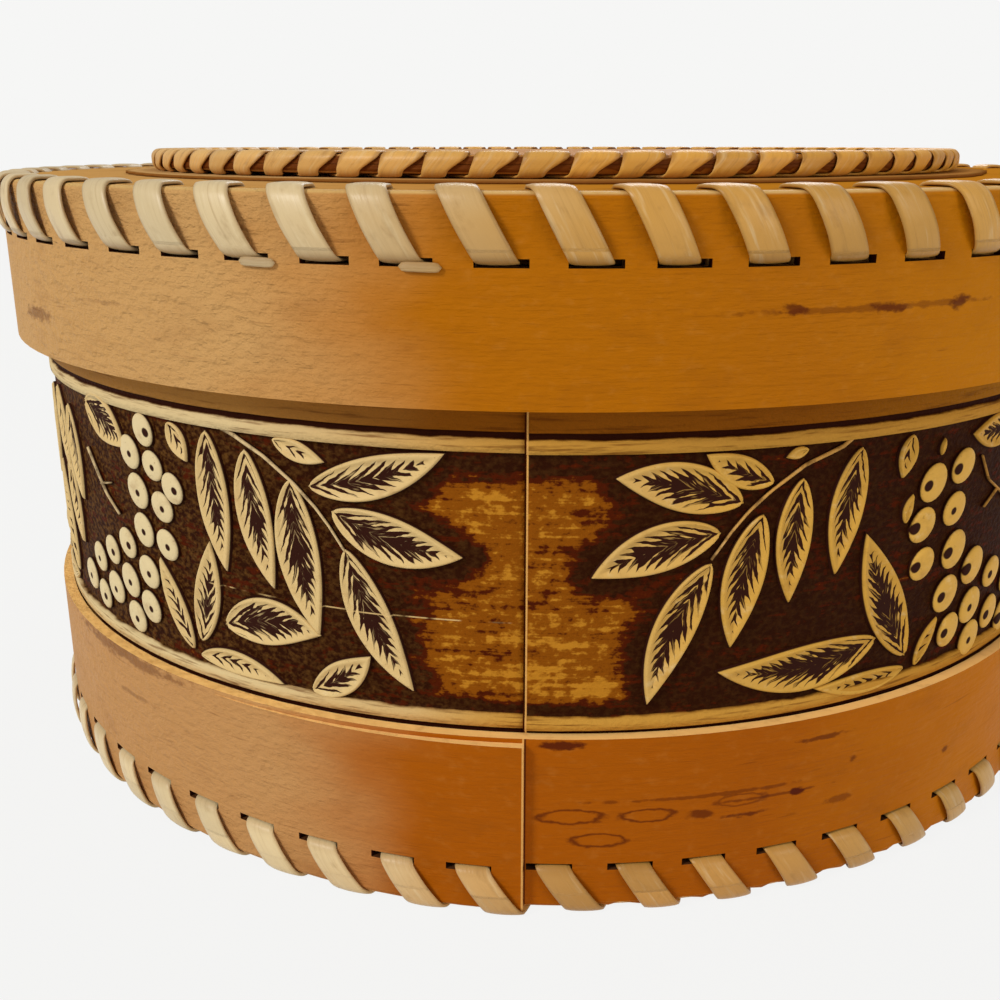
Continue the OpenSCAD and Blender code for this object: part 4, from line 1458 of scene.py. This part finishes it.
    def dress_bark(self) -> None:
        """Gives the lid's bark its finishes."""
        slot = self.skirt.high - self.slot_drop
        tone = Tone("#C89A60", "#AE6602", "#C67C04")
        face = (self.skirt.radius, slot, None, SKIRT_MARKS)
        dress("lid_hoop", BarkFinish("Bark_skirt", tone, "#D0A868", *face, 0.8).make())
        liner = BarkFinish("Bark_lid_liner", INSIDE, radius=self.liner.radius, suede=0.2)
        dress("lid_liner", liner.make())
        dress("lid_lining", BarkFinish("Bark_lid_inside", INSIDE, suede=0.2).make())
        top = Tone("#C39456", "#B87820", "#BC7A20", -20, 30)
        dress("lid_top", BarkFinish("Bark_lid_top", top, "#C89A58", gloss=0.0).make())
        dress("disc_pad", BarkFinish("Bark_pad", BOARD).make())
        face = Tone("#C9985A", "#B87A30", "#BA7C30", -20, 30)
        # The discs' cut edges are painted dark brown: painted shade where the rim shows in the gaps
        # between the strips
        for node in ("raised_disc_back", "raised_disc_face"):
            dress(node, BarkFinish("Bark_" + node, face, "#6A360E").make())
        sheet = Tone("#C09660", "#A8743A", "#A8743A", -20, 30)
        finish = BarkFinish("Bark_thin_sheet", sheet, "#8A5A28", gloss=0.0).make()
        place_piece(self.ragged_underlay(), finish, "lid", "lid_underlay")

    def build(self) -> None:
        """Dresses the lid."""
        self.dress_bark()
        slot = self.skirt.high - self.slot_drop
        tone = Tone("#D6C096", "#C8964A", "#DAA44C", -18, 22)
        bast = LaceFinish("Pale_bast_lid", tone, "#8A5E22", slot, 0.55, 0.36).make()
        lacing = self.edge_lacing()
        place_piece(lacing.build(), bast, "lid", "lid_lacing")
        for number in (1, 3):
            place_piece(self.tuck(number, lacing.stitching), bast, "lid", "lid_lacing")
        gold = Tone("#DEB06A", "#DCA448", "#DEA034", -20, 30)
        brown = LaceFinish("Golden_bark_strip", gold, "#6E3408", rough=0.42).make()
        strip = self.disc_lacing().build()
        place_piece(strip, brown, "lid", "raised_disc_lacing")


# ------------------------------------------------------------------ studio


@dataclass(frozen=True)
class Lamp:
    """Round area lamp: its place and diameter in metres, its power in watts and its colour."""

    name: str
    place: tuple[float, float, float]
    size: float
    power: float
    colour: str


@dataclass
class Studio:
    """Camera, floor, background and lamps."""

    camera: tuple[float, float, float] = (-8.79, -210.92, 93.44)
    pitch: float = -17.35
    lens: float = 41.23
    backdrop: str = "#F6F6F5"
    reach: float = 3.0
    ambient: float = 0.42
    floor_glow: float = 0.95
    lamps: tuple[Lamp, ...] = (
        Lamp("key", (-0.85, -0.7, 0.8), 0.35, 10.0, "#FFFDF8"),
        Lamp("fill", (0.8, -0.7, 0.35), 0.6, 3.0, "#FFF6E8"),
        Lamp("back", (0.2, 0.8, 0.7), 0.6, 4.0, "#FFFFFF"),
    )

    def make_camera(self) -> None:
        """Camera at the photograph's viewing angle: it looks along +Y and down by the pitch."""
        data = bpy.data.cameras.new("camera")
        data.lens = self.lens
        data.sensor_width = 36
        data.clip_start = 0.01
        eye = bpy.data.objects.new("camera", data)
        eye.location = [v * MM for v in self.camera]
        eye.rotation_euler = (math.radians(90 + self.pitch), 0, 0)
        bpy.context.scene.collection.objects.link(eye)
        bpy.context.scene.camera = eye

    def make_floor(self) -> None:
        """Pale floor just below the table height, which the camera sees nearly white."""
        t = Tree(bpy.data.materials.new("Pale_floor"))
        paint = t.add("BsdfDiffuse", {"Color": linear("#DCDCDA")})
        glow = t.add("Emission", {"Color": linear(self.backdrop), "Strength": 1.0})
        camera, gloss = t.add("LightPath", out=("Is Camera Ray", "Is Glossy Ray"))
        seen = t.add("Math", {0: camera, 1: gloss}, operation="MAXIMUM")
        share = t.add("Math", {0: seen, 1: self.floor_glow}, **MULTIPLY)
        mesh = bpy.data.meshes.new("floor")
        edge, under = self.reach, -0.1 * MM
        ways = ((-1, -1), (1, -1), (1, 1), (-1, 1))
        mesh.from_pydata([(edge * x, edge * y, under) for x, y in ways], [], [(0, 1, 2, 3)])
        mesh.materials.append(t.finish(t.add("MixShader", {0: share, 1: paint, 2: glow})))
        floor = bpy.data.objects.new("floor", mesh)
        bpy.context.scene.collection.objects.link(floor)

    def make_world(self) -> None:
        """Soft light from all round, and a nearly white background for the camera."""
        world = bpy.data.worlds.new("studio")
        bpy.context.scene.world = world
        t = Tree(world)
        light = t.add("Background", {"Color": linear("#F4F1EC"), "Strength": self.ambient})
        seen = t.add("Background", {"Color": linear(self.backdrop)})
        camera = t.add("LightPath", out="Is Camera Ray")
        t.finish(t.add("MixShader", {0: camera, 1: light, 2: seen}))

    def make_lamp(self, lamp: Lamp) -> None:
        """Adds a lamp aimed at the middle of the box.

        Args:
            lamp: the lamp.
        """
        data = bpy.data.lights.new(lamp.name, "AREA")
        data.shape = "DISK"
        data.size = lamp.size
        data.energy = lamp.power
        data.color = linear(lamp.colour)[:3]
        light = bpy.data.objects.new(lamp.name, data)
        light.location = lamp.place
        aim = np.array((0, 0, 0.045)) - lamp.place
        flat = math.hypot(aim[0], aim[1])
        light.rotation_euler = (math.atan2(flat, -aim[2]), 0, math.atan2(-aim[0], aim[1]))
        bpy.context.scene.collection.objects.link(light)

    def build(self) -> None:
        """Sets up the whole studio."""
        self.make_camera()
        self.make_floor()
        self.make_world()
        for lamp in self.lamps:
            self.make_lamp(lamp)
        bpy.context.scene.view_settings.view_transform = "Standard"


def main() -> None:
    """Builds the studio, the body and the lid in order."""
    logging.basicConfig(level=logging.INFO, format="%(message)s")
    Studio().build()
    Body(*map(Solid.of, ("bottom_hoop", "embossed_band", "base_disc"))).build()
    plies = ("raised_disc_back", "raised_disc_face", "lid_underlay")
    Lid(*map(Solid.of, ("lid_hoop", "lid_top", "lid_liner", *plies))).build()


if __name__ == "__main__":
    main()
